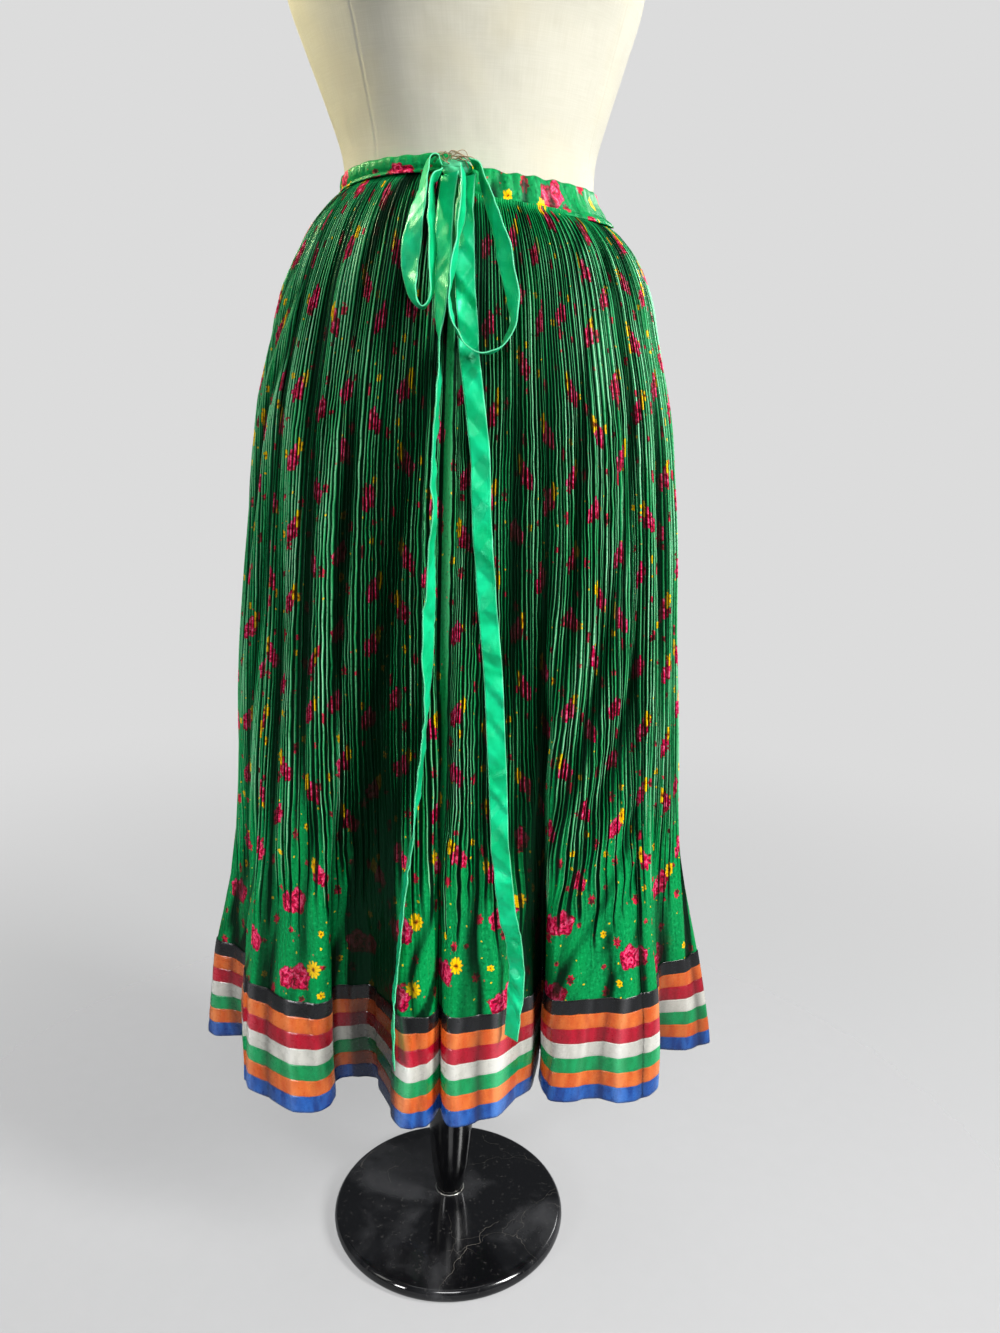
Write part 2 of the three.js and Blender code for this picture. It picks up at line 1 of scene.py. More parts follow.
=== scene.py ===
"""A finely pleated folk skirt, banded at its hem and tied with a satin drawstring, worn by a
limbless dress form. Metres, +Z up, the front of the skirt towards -Y."""
import math

import bpy
import numpy as np
from mathutils import Matrix, Vector


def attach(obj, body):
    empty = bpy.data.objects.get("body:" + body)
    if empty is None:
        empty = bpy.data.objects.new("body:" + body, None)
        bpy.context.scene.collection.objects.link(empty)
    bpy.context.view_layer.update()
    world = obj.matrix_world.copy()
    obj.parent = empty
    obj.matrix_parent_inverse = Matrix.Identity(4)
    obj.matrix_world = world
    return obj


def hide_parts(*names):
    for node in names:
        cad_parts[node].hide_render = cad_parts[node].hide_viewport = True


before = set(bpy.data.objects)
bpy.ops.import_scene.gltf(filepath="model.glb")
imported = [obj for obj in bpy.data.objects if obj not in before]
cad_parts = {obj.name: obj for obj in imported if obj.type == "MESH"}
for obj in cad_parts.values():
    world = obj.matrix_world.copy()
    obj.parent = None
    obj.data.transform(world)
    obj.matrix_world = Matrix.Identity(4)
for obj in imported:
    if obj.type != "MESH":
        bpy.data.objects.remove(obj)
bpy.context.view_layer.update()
scene = bpy.context.scene
MM = 0.001

# ---- The camera ----
CAMERA = {"place": (0.0225, -0.9681, 0.8716), "down": 14.22, "right": 0.96, "roll": 1.73,
          "lens": 27.95, "sensor": 36.0}


def make_camera():
    data = bpy.data.cameras.new("camera")
    data.lens = CAMERA["lens"]
    data.sensor_width = CAMERA["sensor"]
    data.clip_start, data.clip_end = 0.01, 100
    camera = bpy.data.objects.new("camera", data)
    scene.collection.objects.link(camera)
    down, right, roll = (math.radians(CAMERA[key]) for key in ("down", "right", "roll"))
    turn = (Matrix.Rotation(-right, 4, "Z") @ Matrix.Rotation(math.pi / 2 - down, 4, "X")
            @ Matrix.Rotation(roll, 4, "Z"))
    camera.matrix_world = Matrix.Translation(CAMERA["place"]) @ turn
    scene.camera = camera


make_camera()


# ---- Meshes from grids of points ----
def floats(values):
    return np.asarray(values, dtype=np.float64)


def mesh_object(name, points, faces, uv=None, bake_uv=None):
    """A piece from points, faces and, where given, one place on its maps for each point."""
    mesh = bpy.data.meshes.new(name)
    mesh.from_pydata(floats(points).reshape(-1, 3).tolist(), [], [tuple(face) for face in faces])
    for map_name, places in (("cloth", uv), ("OFBake", bake_uv)):
        if places is None:
            continue
        layer = mesh.uv_layers.new(name=map_name)
        corners = np.zeros(len(mesh.loops), dtype=np.int64)
        mesh.loops.foreach_get("vertex_index", corners)
        flat = floats(places).reshape(-1, 2)
        layer.data.foreach_set("uv", flat[corners].astype(np.float32).ravel())
    mesh.polygons.foreach_set("use_smooth", np.ones(len(mesh.polygons), dtype=bool))
    piece = bpy.data.objects.new(name, mesh)
    scene.collection.objects.link(piece)
    return piece


def stand_for(piece, node, slot, *looks):
    """Give a piece its materials, tie it to the root and hide the CAD node that it stands for. The
    slot, the name of its finish, is not used.
    """
    for look in looks:
        piece.data.materials.append(look)
    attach(piece, "root")
    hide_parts(node)


def grid_faces(rows, columns, closed=False, flip=False):
    """Faces between the points of a grid of rows, which close on themselves if asked."""
    steps = columns if closed else columns - 1
    r, c = np.meshgrid(np.arange(rows - 1), np.arange(steps), indexing="ij")
    a, b = r * columns + c, r * columns + (c + 1) % columns
    d, e = a + columns, b + columns
    return np.stack([a, d, e, b] if flip else [a, b, e, d], axis=-1).reshape(-1, 4)


def tube_faces(rows, columns):
    """Faces of a grid of closed rows, and one at each of its ends."""
    last = (rows - 1) * columns + np.arange(columns)
    return [*grid_faces(rows, columns, closed=True), range(columns)[::-1], last]


def grid_uv(rows, columns, margin=0.01):
    """Each point's own place on the OFBake map, spread over the whole square."""
    v, u = np.meshgrid(np.linspace(1 - margin, margin, rows),
                       np.linspace(margin, 1 - margin, columns), indexing="ij")
    return np.stack([u, v], axis=-1)


def sheet_object(name, points, uv):
    """A piece from a grid of points in millimetres, open at its sides."""
    size = points.shape[:2]
    return mesh_object(name, points * MM, grid_faces(*size), uv, grid_uv(*size))


def mark_points(piece, **marks):
    """Give each point of a piece its numbers, which the piece's material reads."""
    for name, values in marks.items():
        layer = piece.data.attributes.new(name, "FLOAT", "POINT")
        layer.data.foreach_set("value", np.asarray(values, dtype=np.float32).ravel())


def pairs(a, b):
    return np.stack(np.broadcast_arrays(a, b), axis=-1)


def raised(xy, z):
    """Places on the ground, each with its height."""
    return np.concatenate([xy, np.broadcast_to(z, xy.shape[:-1])[..., None]], axis=-1)


def unit(ways):
    """The same ways, each of length 1."""
    return ways / np.linalg.norm(ways, axis=-1)[..., None]


def once_round(count):
    return np.linspace(0, 2 * math.pi, count, endpoint=False)


def smooth_step(f):
    f = np.clip(f, 0, 1)
    return f * f * (3 - 2 * f)


def ramp(z, start, length):
    """From 0 at the start to 1 at the end of a length, which runs down where it is negative."""
    return smooth_step((z - start) / length)


def near(away, width):
    """1 in the middle, and less and less away from it."""
    return np.exp(-(away / width) ** 2)


def run_along(places):
    """How far along its line each place is, for one line or for a row of lines."""
    steps = np.linalg.norm(np.diff(places, axis=-2), axis=-1)
    return np.concatenate([np.zeros_like(steps[..., :1]), np.cumsum(steps, axis=-1)], axis=-1)


def stations(first, *stretches):
    """Heights from the first one on, each stretch given by its end and its count of steps."""
    heights = [first]
    for end, steps in stretches:
        heights += list(np.linspace(heights[-1], end, steps + 1)[1:])
    return floats(heights)


def waves(seed, count, lengths):
    """A smooth pattern of two variables, from about -1 to 1, the same on each run."""
    chance = np.random.RandomState(seed)
    turns = 2 * math.pi / (np.asarray(lengths) * chance.uniform(0.7, 1.4, (count, 2)))
    phases = chance.uniform(0, 2 * math.pi, (count, 2))

    def pattern(a, b):
        total = 0
        for (turn_a, turn_b), (phase_a, phase_b) in zip(turns, phases):
            total = total + np.sin(a * turn_a + phase_a) * np.sin(b * turn_b + phase_b)
        return total / math.sqrt(count)
    return pattern


def facet_line(seed, length, widths):
    """Flat facets side by side, in millimetres: their edges, and how far each stands out, to 1."""
    chance = np.random.RandomState(seed)
    edges = [0.0]
    while edges[-1] < length - widths[1]:
        edges.append(edges[-1] + chance.uniform(*widths))
    edges.append(float(length))
    rise = chance.uniform(0.3, 1, len(edges)) * np.where(np.arange(len(edges)) % 2, 1, -1)
    rise[[0, -1]] = 0
    return np.array(edges), rise


# ---- The drawstring: each row is a place on the middle of the ribbon, and its turn in
# degrees from facing the front to standing on edge ----
CORD_ROUTES = {
    "drawstring_loop_left": [
        (-.019, -.0974, 1.050, 80), (-.0235, -.0995, 1.0555, 85), (-.029, -.101, 1.053, 80),
        (-.032, -.1045, 1.042, 72), (-.034, -.111, 1.029, 62), (-.037, -.119, 1.011, 42),
        (-.040, -.124, .992, 22), (-.041, -.128, .972, 32), (-.0395, -.131, .956, 58),
        (-.0355, -.1335, .945, 80), (-.030, -.1345, .9415, 88), (-.0255, -.1345, .948, 88),
        (-.024, -.1325, .962, 80), (-.0245, -.129, .980, 75), (-.025, -.1235, .998, 75),
        (-.026, -.117, 1.015, 75), (-.0265, -.110, 1.029, 80), (-.025, -.1045, 1.0375, 82),
        (-.0208, -.1005, 1.042, 84),
    ],
    "drawstring_loop_right": [
        (.0034, -.0972, 1.0512, 80), (.009, -.100, 1.048, 80), (.0125, -.104, 1.038, 75),
        (.019, -.113, 1.018, 65), (.025, -.119, 1.003, 55), (.030, -.124, .985, 45),
        (.034, -.127, .967, 45), (.0385, -.130, .949, 60), (.0385, -.132, .931, 75),
        (.029, -.135, .914, 85), (.015, -.136, .9095, 90), (.002, -.1365, .916, 90),
        (-.006, -.1365, .929, 88), (-.010, -.136, .944, 85), (-.0095, -.134, .960, 85),
        (-.0065, -.130, .981, 80), (-.004, -.1245, 1.002, 80), (-.002, -.1185, 1.020, 80),
        (-.002, -.113, 1.035, 80), (-.003, -.110, 1.045, 80),
    ],
    "drawstring_tail_left": [
        (-.013, -.0989, 1.0433, 35), (-.0145, -.106, 1.028, 35), (-.016, -.112, 1.010, 35),
        (-.0165, -.116, .990, 35), (-.017, -.119, .968, 40), (-.0175, -.1225, .948, 52),
        (-.018, -.1265, .930, 72), (-.0175, -.130, .912, 88), (-.0175, -.133, .889, 96),
        (-.019, -.1355, .865, 98), (-.0205, -.1365, .842, 98), (-.021, -.137, .822, 98),
        (-.0195, -.1375, .781, 100), (-.022, -.137, .756, 104), (-.0215, -.136, .731, 112),
        (-.023, -.135, .696, 124), (-.0235, -.1345, .671, 122), (-.024, -.1345, .639, 106),
        (-.024, -.134, .615, 98), (-.027, -.1335, .584, 98), (-.030, -.133, .550, 104),
        (-.0335, -.133, .515, 88), (-.038, -.134, .480, 80), (-.043, -.1345, .441, 78),
        (-.046, -.1345, .401, 80), (-.049, -.1345, .361, 82), (-.051, -.136, .320, 80),
        (-.050, -.138, .281, 78),
    ],
    "drawstring_tail_right": [
        (.001, -.101, 1.0415, 40), (0, -.104, 1.030, 40), (-.001, -.108, 1.013, 30),
        (-.0005, -.1125, .990, 15), (.001, -.117, .957, 0), (.004, -.1195, .928, 0),
        (.005, -.1215, .910, 0), (.008, -.124, .889, 0), (.012, -.126, .860, 0),
        (.016, -.1275, .827, 5), (.018, -.1285, .782, 5), (.022, -.128, .741, 8),
        (.025, -.1275, .706, 5), (.031, -.1265, .652, 0), (.035, -.1263, .595, 0),
        (.038, -.1256, .552, 0), (.041, -.1248, .499, 5), (.0445, -.1234, .470, 8),
        (.050, -.1215, .428, 10), (.056, -.1195, .403, 22), (.0605, -.119, .371, 30),
        (.0595, -.119, .338, 30), (.0575, -.1195, .300, 44),
    ],
}
DRAWSTRING = {"width": 0.016, "thick": 0.0007, "step": 0.0016, "across": 10,
              "slants": (1.4, -1.1, 0.3), "facets": (8, 27), "edge": (7.3, 7.6)}
# How deep the creases are, how far the ribbon curls and sways, and how high its folds stand.
CREASES = {
    "drawstring_loop_left": 0.0006, "drawstring_loop_right": 0.0006,
    "drawstring_tail_left": 0.0005, "drawstring_tail_right": 0.0017,
}
CURL, SWAY, FOLD_HEIGHT = 0.2 * MM, 0.8 * MM, 1.3 * MM
ENDS_EASE = 0.03      # the stretch at each end where all of these fade out
# Each fold across a tail: its height, how wide it is and how far it leans.
TAIL_FOLDS = {
    "drawstring_tail_right": [
        (.735, .010, 38), (.655, .008, -30), (.560, .012, 24), (.405, .009, 42),
    ],
    "drawstring_tail_left": [
        (.700, .010, 60), (.610, .012, -50), (.470, .014, 40), (.350, .012, -40),
    ],
}


def smooth_route(rows, step):
    """The route's places and turns, closer together on a smooth curve through its rows."""
    rows = floats(rows)
    ends = np.vstack([2 * rows[0] - rows[1], rows, 2 * rows[-1] - rows[-2]])
    out = []
    for before, a, b, after in zip(ends, ends[1:], ends[2:], ends[3:]):
        count = max(2, int(round(np.linalg.norm(b[:3] - a[:3]) / step)))
        for f in np.arange(count) / count:
            out.append(0.5 * (2 * a + (b - before) * f + (2 * before - 5 * a + 4 * b - after) * f ** 2
                              + (3 * a - before - 3 * b + after) * f ** 3))
    out.append(rows[-1])
    return np.array(out)


def ribbon_frames(rows):
    """Across the ribbon, and out of its face, at each place of its route."""
    places = rows[:, :3]
    along = unit(np.gradient(places, axis=0))
    front = np.array([0, -1.0, 0])
    face = unit(front - along * (along @ front)[:, None])
    turn = np.radians(rows[:, 3])[:, None]
    face = face * np.cos(turn) + np.cross(along, face) * np.sin(turn)
    return np.cross(along, face), face


def drawstring_piece(name, rows):
    """A satin ribbon along its route, cupped and creased, with woven edges a little thicker."""
    rows = smooth_route(rows, DRAWSTRING["step"])
    places = rows[:, :3]
    run = run_along(places)
    length, half = float(run[-1]), DRAWSTRING["width"] / 2
    across, face = ribbon_frames(rows)
    w = np.linspace(-1, 1, DRAWSTRING["across"] + 1)
    seed = len(name) + int(length * 1000)
    curl = waves(seed + 1, 6, (0.014, 1.6))
    sway = waves(seed + 2, 4, (0.09, 3.0))
    ease = smooth_step(np.minimum(run, length - run) / ENDS_EASE)[:, None]
    lift = CURL * curl(run[:, None], w[None]) * ease
    for k, slant in enumerate(DRAWSTRING["slants"]):
        edges, rise = facet_line(seed + 3 + k, length / MM, DRAWSTRING["facets"])
        at = run[:, None] / MM + slant * w[None] * half / MM
        lift = lift + CREASES[name] * np.interp(at, edges, rise) * ease
    lift = lift + SWAY * sway(run[:, None], 0 * w[None]) * (1 - w[None] ** 2) * ease
    for height, wide, lean in TAIL_FOLDS.get(name, ()):
        off = (places[:, 2, None] - height) + w[None] * half * math.sin(math.radians(lean))
        lift = lift + FOLD_HEIGHT * near(off, wide / 3) * ease
    middle = (places[:, None] + across[:, None] * (w * half)[None, :, None]
              + face[:, None] * lift[..., None])
    thick = DRAWSTRING["thick"] / 2 * (1 + 0.5 * (np.abs(w) > 0.95))
    outer = middle + face[:, None] * thick[None, :, None]
    inner = middle - face[:, None] * thick[None, :, None]
    ring = np.concatenate([outer, inner[:, ::-1]], axis=1)
    size = ring.shape[:2]
    uv = pairs(np.concatenate([w, w[::-1]]) * half, run[:, None])
    satin = name.replace("drawstring", "satin")
    piece = mesh_object(satin, ring, tube_faces(*size), uv, grid_uv(*size))
    stand_for(piece, name, "drawstring_satin")
    return piece


satin_pieces = [drawstring_piece(name, rows) for name, rows in CORD_ROUTES.items()]


# ---- Looks ----
def paint(*chart, share=1.0, lift=0.0):
    """A shader's colour from red, green and blue on a colour chart, 0 to 255, darker or lighter."""
    shades = [c / 255 for c in chart]
    linear = [c / 12.92 if c <= 0.04045 else ((c + 0.055) / 1.055) ** 2.4 for c in shades]
    return tuple(c * share + lift for c in linear) + (1,)


class Look:
    """A material, with short calls that add its nodes and join them up."""

    def __init__(self, name, **numbers):
        self.material = bpy.data.materials.new(name)
        self.material.use_nodes = True
        tree = self.material.node_tree
        self.nodes, self.links = tree.nodes, tree.links
        self.shader = self.nodes["Principled BSDF"]
        for key, value in numbers.items():
            socket = key.replace("_", " ").title().replace("Ior", "IOR")
            self.shader.inputs[socket].default_value = value

    def node(self, kind, sockets, output=0, **settings):
        node = self.nodes.new("ShaderNode" + kind)
        for key, value in settings.items():
            setattr(node, key, value)
        for key, value in sockets.items():
            if isinstance(value, bpy.types.NodeSocket):
                self.links.new(value, node.inputs[key])
            else:
                node.inputs[key].default_value = value
        return node.outputs[output]

    def math(self, operation, *values):
        return self.node("Math", dict(enumerate(values)), operation=operation)

    def times(self, *values):
        return self.math("MULTIPLY", *values)

    def times_add(self, *values):
        """The first two multiplied, and the third added."""
        return self.math("MULTIPLY_ADD", *values)

    def sine(self, value, turns):
        return self.math("SINE", self.times(value, turns))

    def threads(self, value, apart):
        return self.sine(value, 2 * math.pi / apart)

    def vector(self, operation, *values):
        return self.node("VectorMath", dict(enumerate(values)), operation=operation)

    def parts(self, vector):
        return self.node("SeparateXYZ", {0: vector}, slice(None))

    def mark(self, name):
        """The number that the piece gives to each of its points under a name."""
        return self.node("Attribute", {}, 2, attribute_name=name)

    def object_place(self):
        return self.node("TexCoord", {}, 3)

    def blend(self, amount, below, above, kind="MIX"):
        return self.node("Mix", {0: amount, 6: below, 7: above}, 2, data_type="RGBA", blend_type=kind)

    def between(self, value, low, high, to_low, to_high):
        """A value's smooth step from one number to another."""
        sockets = {0: value, 1: low, 2: high, 3: to_low, 4: to_high}
        return self.node("MapRange", sockets, interpolation_type="SMOOTHSTEP")

    def step(self, value, low, high, amount=1):
        return self.between(value, low, high, 0, amount)

    def tint(self, below, above, value, low, high, amount=1, kind="MIX"):
        """One colour with another over it, where a value has passed from low to high."""
        return self.blend(self.step(value, low, high, amount), below, above, kind)

    def noise(self, vector, scale, detail=2, stretch=None, output=0):
        if stretch:
            vector = self.vector("MULTIPLY", vector, stretch)
        return self.node("TexNoise", {"Vector": vector, "Scale": scale, "Detail": detail}, output)

    def voronoi(self, vector, scale, feature="F1"):
        return self.node("TexVoronoi", {"Vector": vector, "Scale": scale}, feature=feature)

    def cloth(self):
        """The place on the cloth, in millimetres, and its two parts."""
        place = self.node("UVMap", {}, uv_map="cloth")
        place = self.vector("MULTIPLY", place, (1 / MM, 1 / MM, 0))
        return place, *self.parts(place)[:2]

    def bump(self, height, distance, after=None):
        sockets = {"Height": height, "Distance": distance}
        if after is not None:
            sockets["Normal"] = after
        return self.node("Bump", sockets)

    def finish(self, **sockets):
        for key, value in sockets.items():
            self.links.new(value, self.shader.inputs[key.replace("_", " ").title()])
        return self.material


# The print: bunches of flowers in a half drop repeat, each a little out of its place, with
# smaller sprays between them. Millimetres on the cloth as it shows: the pleats hide half of it,
# so the flowers on them are narrower and closer together than on the open cloth above the hem.
OPEN_BELOW = 440
OPEN_BUNCHES = {
    "across": 84, "up": 76, "wander": (16, 26),
    "daisy": (-15, 8, 9.6, 11, 1), "roses": [(2, -2, 13.6, 0.98), (19, -5, 10.6, 0.92)],
}
PLEATED_BUNCHES = {
    "across": 50, "up": 66, "wander": (16, 26),
    "daisy": (-7, 8, 5.2, 8, 0.6), "roses": [(0, 0, 8.2, 0.82), (9, -5, 6.2, 0.76)],
}
SPRAYS = {"across": 38, "up": 70, "wander": (10, 24)}
YELLOW, GOLD, UMBER = paint(252, 202, 6), paint(210, 130, 2), paint(112, 48, 6)
ROSE, PINK = paint(206, 4, 64), paint(228, 34, 98)
WINE, BLUSH = paint(84, 0, 28), paint(250, 130, 160)
GROUND, LEAF, LEAF_DARK = paint(6, 132, 70), paint(30, 176, 102), paint(0, 72, 36)
FAR = 900             # out of the way, so that a bunch isn't printed
HALF = (0.5, 0.5, 0.5)
DAISY_CHANCE = (-0.16, -0.14)     # the daisy is printed where a bunch's own chance is above this
STAR = (9, 15, 4.2, 6, 1)
LONE_FLOWERS = [(-6, 6, 4.6, 0.8), (9, -20, 3.6, 1.2)]
DOTS = [(10, 0, 1.2), (-9, -16, 1.1), (1, 26, 1)]


def cells(look, u, v, repeat, shown=None):
    """The place from the middle of its own bunch, in millimetres, and the bunch's own chance."""
    across, up = repeat["across"], repeat["up"]
    column = look.math("ROUND", look.math("DIVIDE", u, across))
    rise = look.times_add(column, -0.5, look.math("DIVIDE", v, up))
    row = look.math("ROUND", rise)
    cell = look.node("CombineXYZ", {0: column, 1: row})
    chance = look.node("TexWhiteNoise", {0: cell}, 1, noise_dimensions="2D")
    chance = look.vector("SUBTRACT", chance, HALF)
    parts = look.parts(chance)
    dx = look.times_add(column, -across, u)
    dx = look.times_add(parts[0], -repeat["wander"][0], dx)
    dx = look.times(dx, look.math("SIGN", parts[2]))
    if shown:
        middle = look.times(look.times_add(column, 0.5, row), up)
        dx = look.times_add(look.math(shown, middle, OPEN_BELOW), FAR, dx)
    dy = look.times(look.math("SUBTRACT", rise, row), up)
    return dx, look.times_add(parts[1], -repeat["wander"][1], dy), parts[0]


def motif(look, place, x, y, tall=1):
    """How far from the motif's middle, in millimetres, and the angle round it."""
    dx = look.math("SUBTRACT", place[0], x)
    dy = look.times(look.math("SUBTRACT", place[1], y), tall)
    reach = look.math("SQRT", look.times_add(dx, dx, look.times(dy, dy)))
    return reach, look.math("ARCTAN2", dy, dx)


def petalled(look, colour, place, flower):
    """A yellow flower with a brown middle, in some of the bunches, over a colour."""
    x, y, radius, petals, tall = flower
    reach, turn = motif(look, place, x, y, tall)
    wave = look.math("ABSOLUTE", look.sine(turn, petals / 2))
    share = look.math("DIVIDE", reach, look.times_add(wave, radius * 0.32, radius * 0.68))
    petal = look.tint(YELLOW, GOLD, wave, 0.5, 0.15, 0.7)
    petal = look.tint(petal, UMBER, share, 0.88, 0.98, 0.8)
    petal = look.tint(petal, GOLD, reach, radius * 0.32, radius * 0.25)
    petal = look.tint(petal, UMBER, reach, radius * 0.2, radius * 0.12)
    printed = look.times(look.step(share, 1, 0.94), look.step(place[2], *DAISY_CHANCE))
    return look.blend(printed, colour, petal)


def rose(look, colour, place, fine, flower):
    """A full rose, its curled petals lighter on one side, over a colour."""
    x, y, radius, tall = flower
    reach, turn = motif(look, place, x, y, tall)
    lobes = look.times_add(look.sine(turn, 5), 0.1, 0.96)
    share = look.math("DIVIDE", reach, look.times(lobes, radius))
    ring = look.times_add(fine, 15, look.times(share, 7))
    curl = look.math("SINE", look.times_add(turn, 1, ring))
    petals = look.tint(ROSE, PINK, curl, -0.4, 0.6)
    petals = look.tint(petals, BLUSH, curl, 0.76, 1, 0.6)
    petals = look.tint(petals, WINE, curl, -0.6, -1, 0.85)
    petals = look.tint(petals, WINE, share, 0.86, 0.98, 0.7)
    return look.tint(colour, petals, share, 1.02, 0.97)


def flower_print(look, place, ground):
    """The ground with its printed flowers."""
    shake = look.vector("SUBTRACT", look.noise(place, 0.3, 3, output=1), HALF)
    moved = look.vector("ADD", place, look.vector("MULTIPLY", shake, (4.6, 4.6, 0)))
    u, v, _ = look.parts(moved)
    spray = cells(look, u, v, SPRAYS)
    fine = look.noise(place, 0.17, 3)

    leaves = look.noise(place, 0.36, 4, (1, 0.8, 1))
    colour = look.tint(ground, LEAF, leaves, 0.56, 0.62, 0.45)
    colour = look.tint(colour, LEAF_DARK, leaves, 0.42, 0.36, 0.5)
    colour = look.tint(colour, ROSE, look.voronoi(moved, 0.07), 0.08, 0.05, 0.8)
    for x, y, radius in DOTS:
        reach, _ = motif(look, spray, x, y)
        colour = look.tint(colour, YELLOW, reach, radius, radius * 0.7)
    for x, y, radius, tall in LONE_FLOWERS:
        reach, turn = motif(look, spray, x, y, tall)
        frill = look.times_add(look.sine(turn, 7), 0.2, 0.95)
        share = look.math("DIVIDE", reach, look.times(frill, radius))
        wine = look.tint(WINE, ROSE, fine, 0.42, 0.56)
        colour = look.tint(colour, wine, share, 1, 0.86, 0.95)
    colour = petalled(look, colour, spray, STAR)
    for repeat, hidden in ((OPEN_BUNCHES, "GREATER_THAN"), (PLEATED_BUNCHES, "LESS_THAN")):
        bunch = cells(look, u, v, repeat, hidden)
        for flower in repeat["roses"]:
            colour = rose(look, colour, bunch, fine, flower)
        colour = petalled(look, colour, bunch, repeat["daisy"])
    return colour


def make_printed_cloth():
    look = Look("printed_cloth", specular_ior_level=0.22, specular_tint=paint(150, 235, 195))
    place, u, v = look.cloth()
    valley, ridge = look.mark("valley"), look.mark("ridge")
    # Painted highlight: the pleats' crests are lightened, more in some places than in others, first the
    # ground and then the printed colours.
    painted_crest_highlight = look.between(look.noise(place, 0.02, 2, (3, 0.5, 1)), 0.35, 0.65, 0.2, 1)
    painted_crest_highlight = look.times(painted_crest_highlight, look.step(ridge, 0.52, 1))
    ground = look.tint(GROUND, paint(4, 142, 72), look.noise(place, 0.012, 3), 0.35, 0.65)
    # Painted highlight on the ground along the crests.
    ground = look.blend(painted_crest_highlight, ground, paint(128, 186, 144), "SCREEN")
    colour = flower_print(look, place, ground)
    # Painted highlight on the printed colours along the crests.
    colour = look.blend(look.times(painted_crest_highlight, 0.6), colour, colour, "SCREEN")
    # Painted shade: the cloth is darkened to near-black green in the pleats' valleys, in recesses
    # between the folds and in the hollows of the gathers.
    colour = look.tint(colour, paint(1, 12, 5), valley, 0, 0.42, 0.97)
    warp = look.threads(u, 0.42)
    weft = look.threads(v, 0.36)
    weave = look.times_add(warp, 0.06, look.times(weft, 0.1))
    crepe = look.times_add(look.noise(place, 2.2, 3, (1, 0.25, 1)), 1.3, weave)
    soft = look.bump(look.noise(place, 0.16, 2, (1, 0.3, 1)), 0.0007)
    normal = look.bump(crepe, 0.00006, soft)
    shine = look.between(look.noise(place, 0.05, 3), 0.3, 0.7, 0.32, 0.46)
    return look.finish(base_color=colour, roughness=shine, normal=normal)


def make_drawstring_satin():
    look = Look("drawstring_satin", specular_ior_level=0.5, anisotropic=0.3,
                specular_tint=paint(150, 255, 220))
    place, u, _ = look.cloth()
    colour = look.tint(paint(4, 170, 106), paint(18, 202, 138), look.noise(place, 0.03, 3), 0.35, 0.65)
    slub = look.noise(place, 1.4, 2, (0.15, 1, 1))
    colour = look.tint(colour, paint(26, 186, 128), slub, 0.5, 0.7, 0.3)
    edge = look.step(look.math("ABSOLUTE", u), *DRAWSTRING["edge"])
    colour = look.blend(look.times(edge, 0.5), colour, paint(130, 226, 180))
    threads = look.noise(place, 2.4, 1, (0.04, 1, 1))
    height = look.times_add(slub, 0.8, look.times(threads, 0.15))
    height = look.times_add(edge, 1.4, height)
    creases = look.bump(look.noise(place, 0.09, 2, (1, 0.6, 1)), 0.0011)
    normal = look.bump(height, 0.00007, creases)
    shine = look.between(look.noise(place, 0.2, 3), 0.3, 0.7, 0.32, 0.42)
    return look.finish(base_color=colour, roughness=shine, normal=normal)


RIBBON_COLOURS = {      # two shades of each ribbon's thread
    "black": ((6, 6, 8), (16, 17, 21)), "orange": ((196, 80, 22), (214, 108, 44)),
    "red": ((144, 0, 25), (174, 3, 38)), "white": ((184, 182, 174), (202, 200, 192)),
    "green": ((0, 122, 64), (3, 148, 84)), "blue": ((10, 52, 126), (32, 90, 170)),
}


def make_ribbon_satin(name, shades):
    look = Look("ribbon_" + name, specular_ior_level=0.7)
    place, u, v = look.cloth()
    low, high = shades
    half = RIBBON_WIDTH / 2
    mottle = look.noise(place, 0.05, 3, (2, 0.6, 1))
    colour = look.tint(paint(*low), paint(*high), mottle, 0.35, 0.65)
    streaks = look.noise(place, 1.1, 2, (1, 0.08, 1))
    colour = look.tint(colour, paint(*high), streaks, 0.55, 0.75, 0.3)
    middle = look.math("ABSOLUTE", look.math("SUBTRACT", v, half))
    woven_edge = look.step(middle, half - 0.8, half - 0.5)
    shade = paint(*low, share=0.55)
    colour = look.blend(look.times(woven_edge, 0.2), colour, shade)
    from_seam = look.math("ABSOLUTE", look.math("SUBTRACT", middle, half - 1.7))
    seam = look.step(from_seam, 0.32, 0.16)
    stitches = look.times(seam, look.step(look.threads(u, 2.6), -0.5, -0.1))
    colour = look.blend(look.times(stitches, 0.3), colour, shade)
    valley, ridge = look.mark("valley"), look.mark("ridge")
    # Painted shade in recesses and on facets turned in.
    colour = look.tint(colour, paint(*low, share=0.12), valley, 0, 0.7, 0.94)
    # Painted highlight on facets turned out.
    light = paint(*high, share=0.7, lift=0.05)
    colour = look.tint(colour, light, ridge, 0.1, 0.8, 0.9, "SCREEN")
    threads = look.noise(place, 2.4, 1, (1, 0.04, 1))
    height = look.times_add(streaks, 0.2, look.times(threads, 0.06))
    height = look.times_add(stitches, -0.6, height)
    height = look.times_add(woven_edge, 0.8, height)
    normal = look.bump(height, 0.00008)
    shine = look.between(look.noise(place, 0.16, 3), 0.3, 0.7, 0.24, 0.34)
    return look.finish(base_color=colour, roughness=shine, normal=normal)


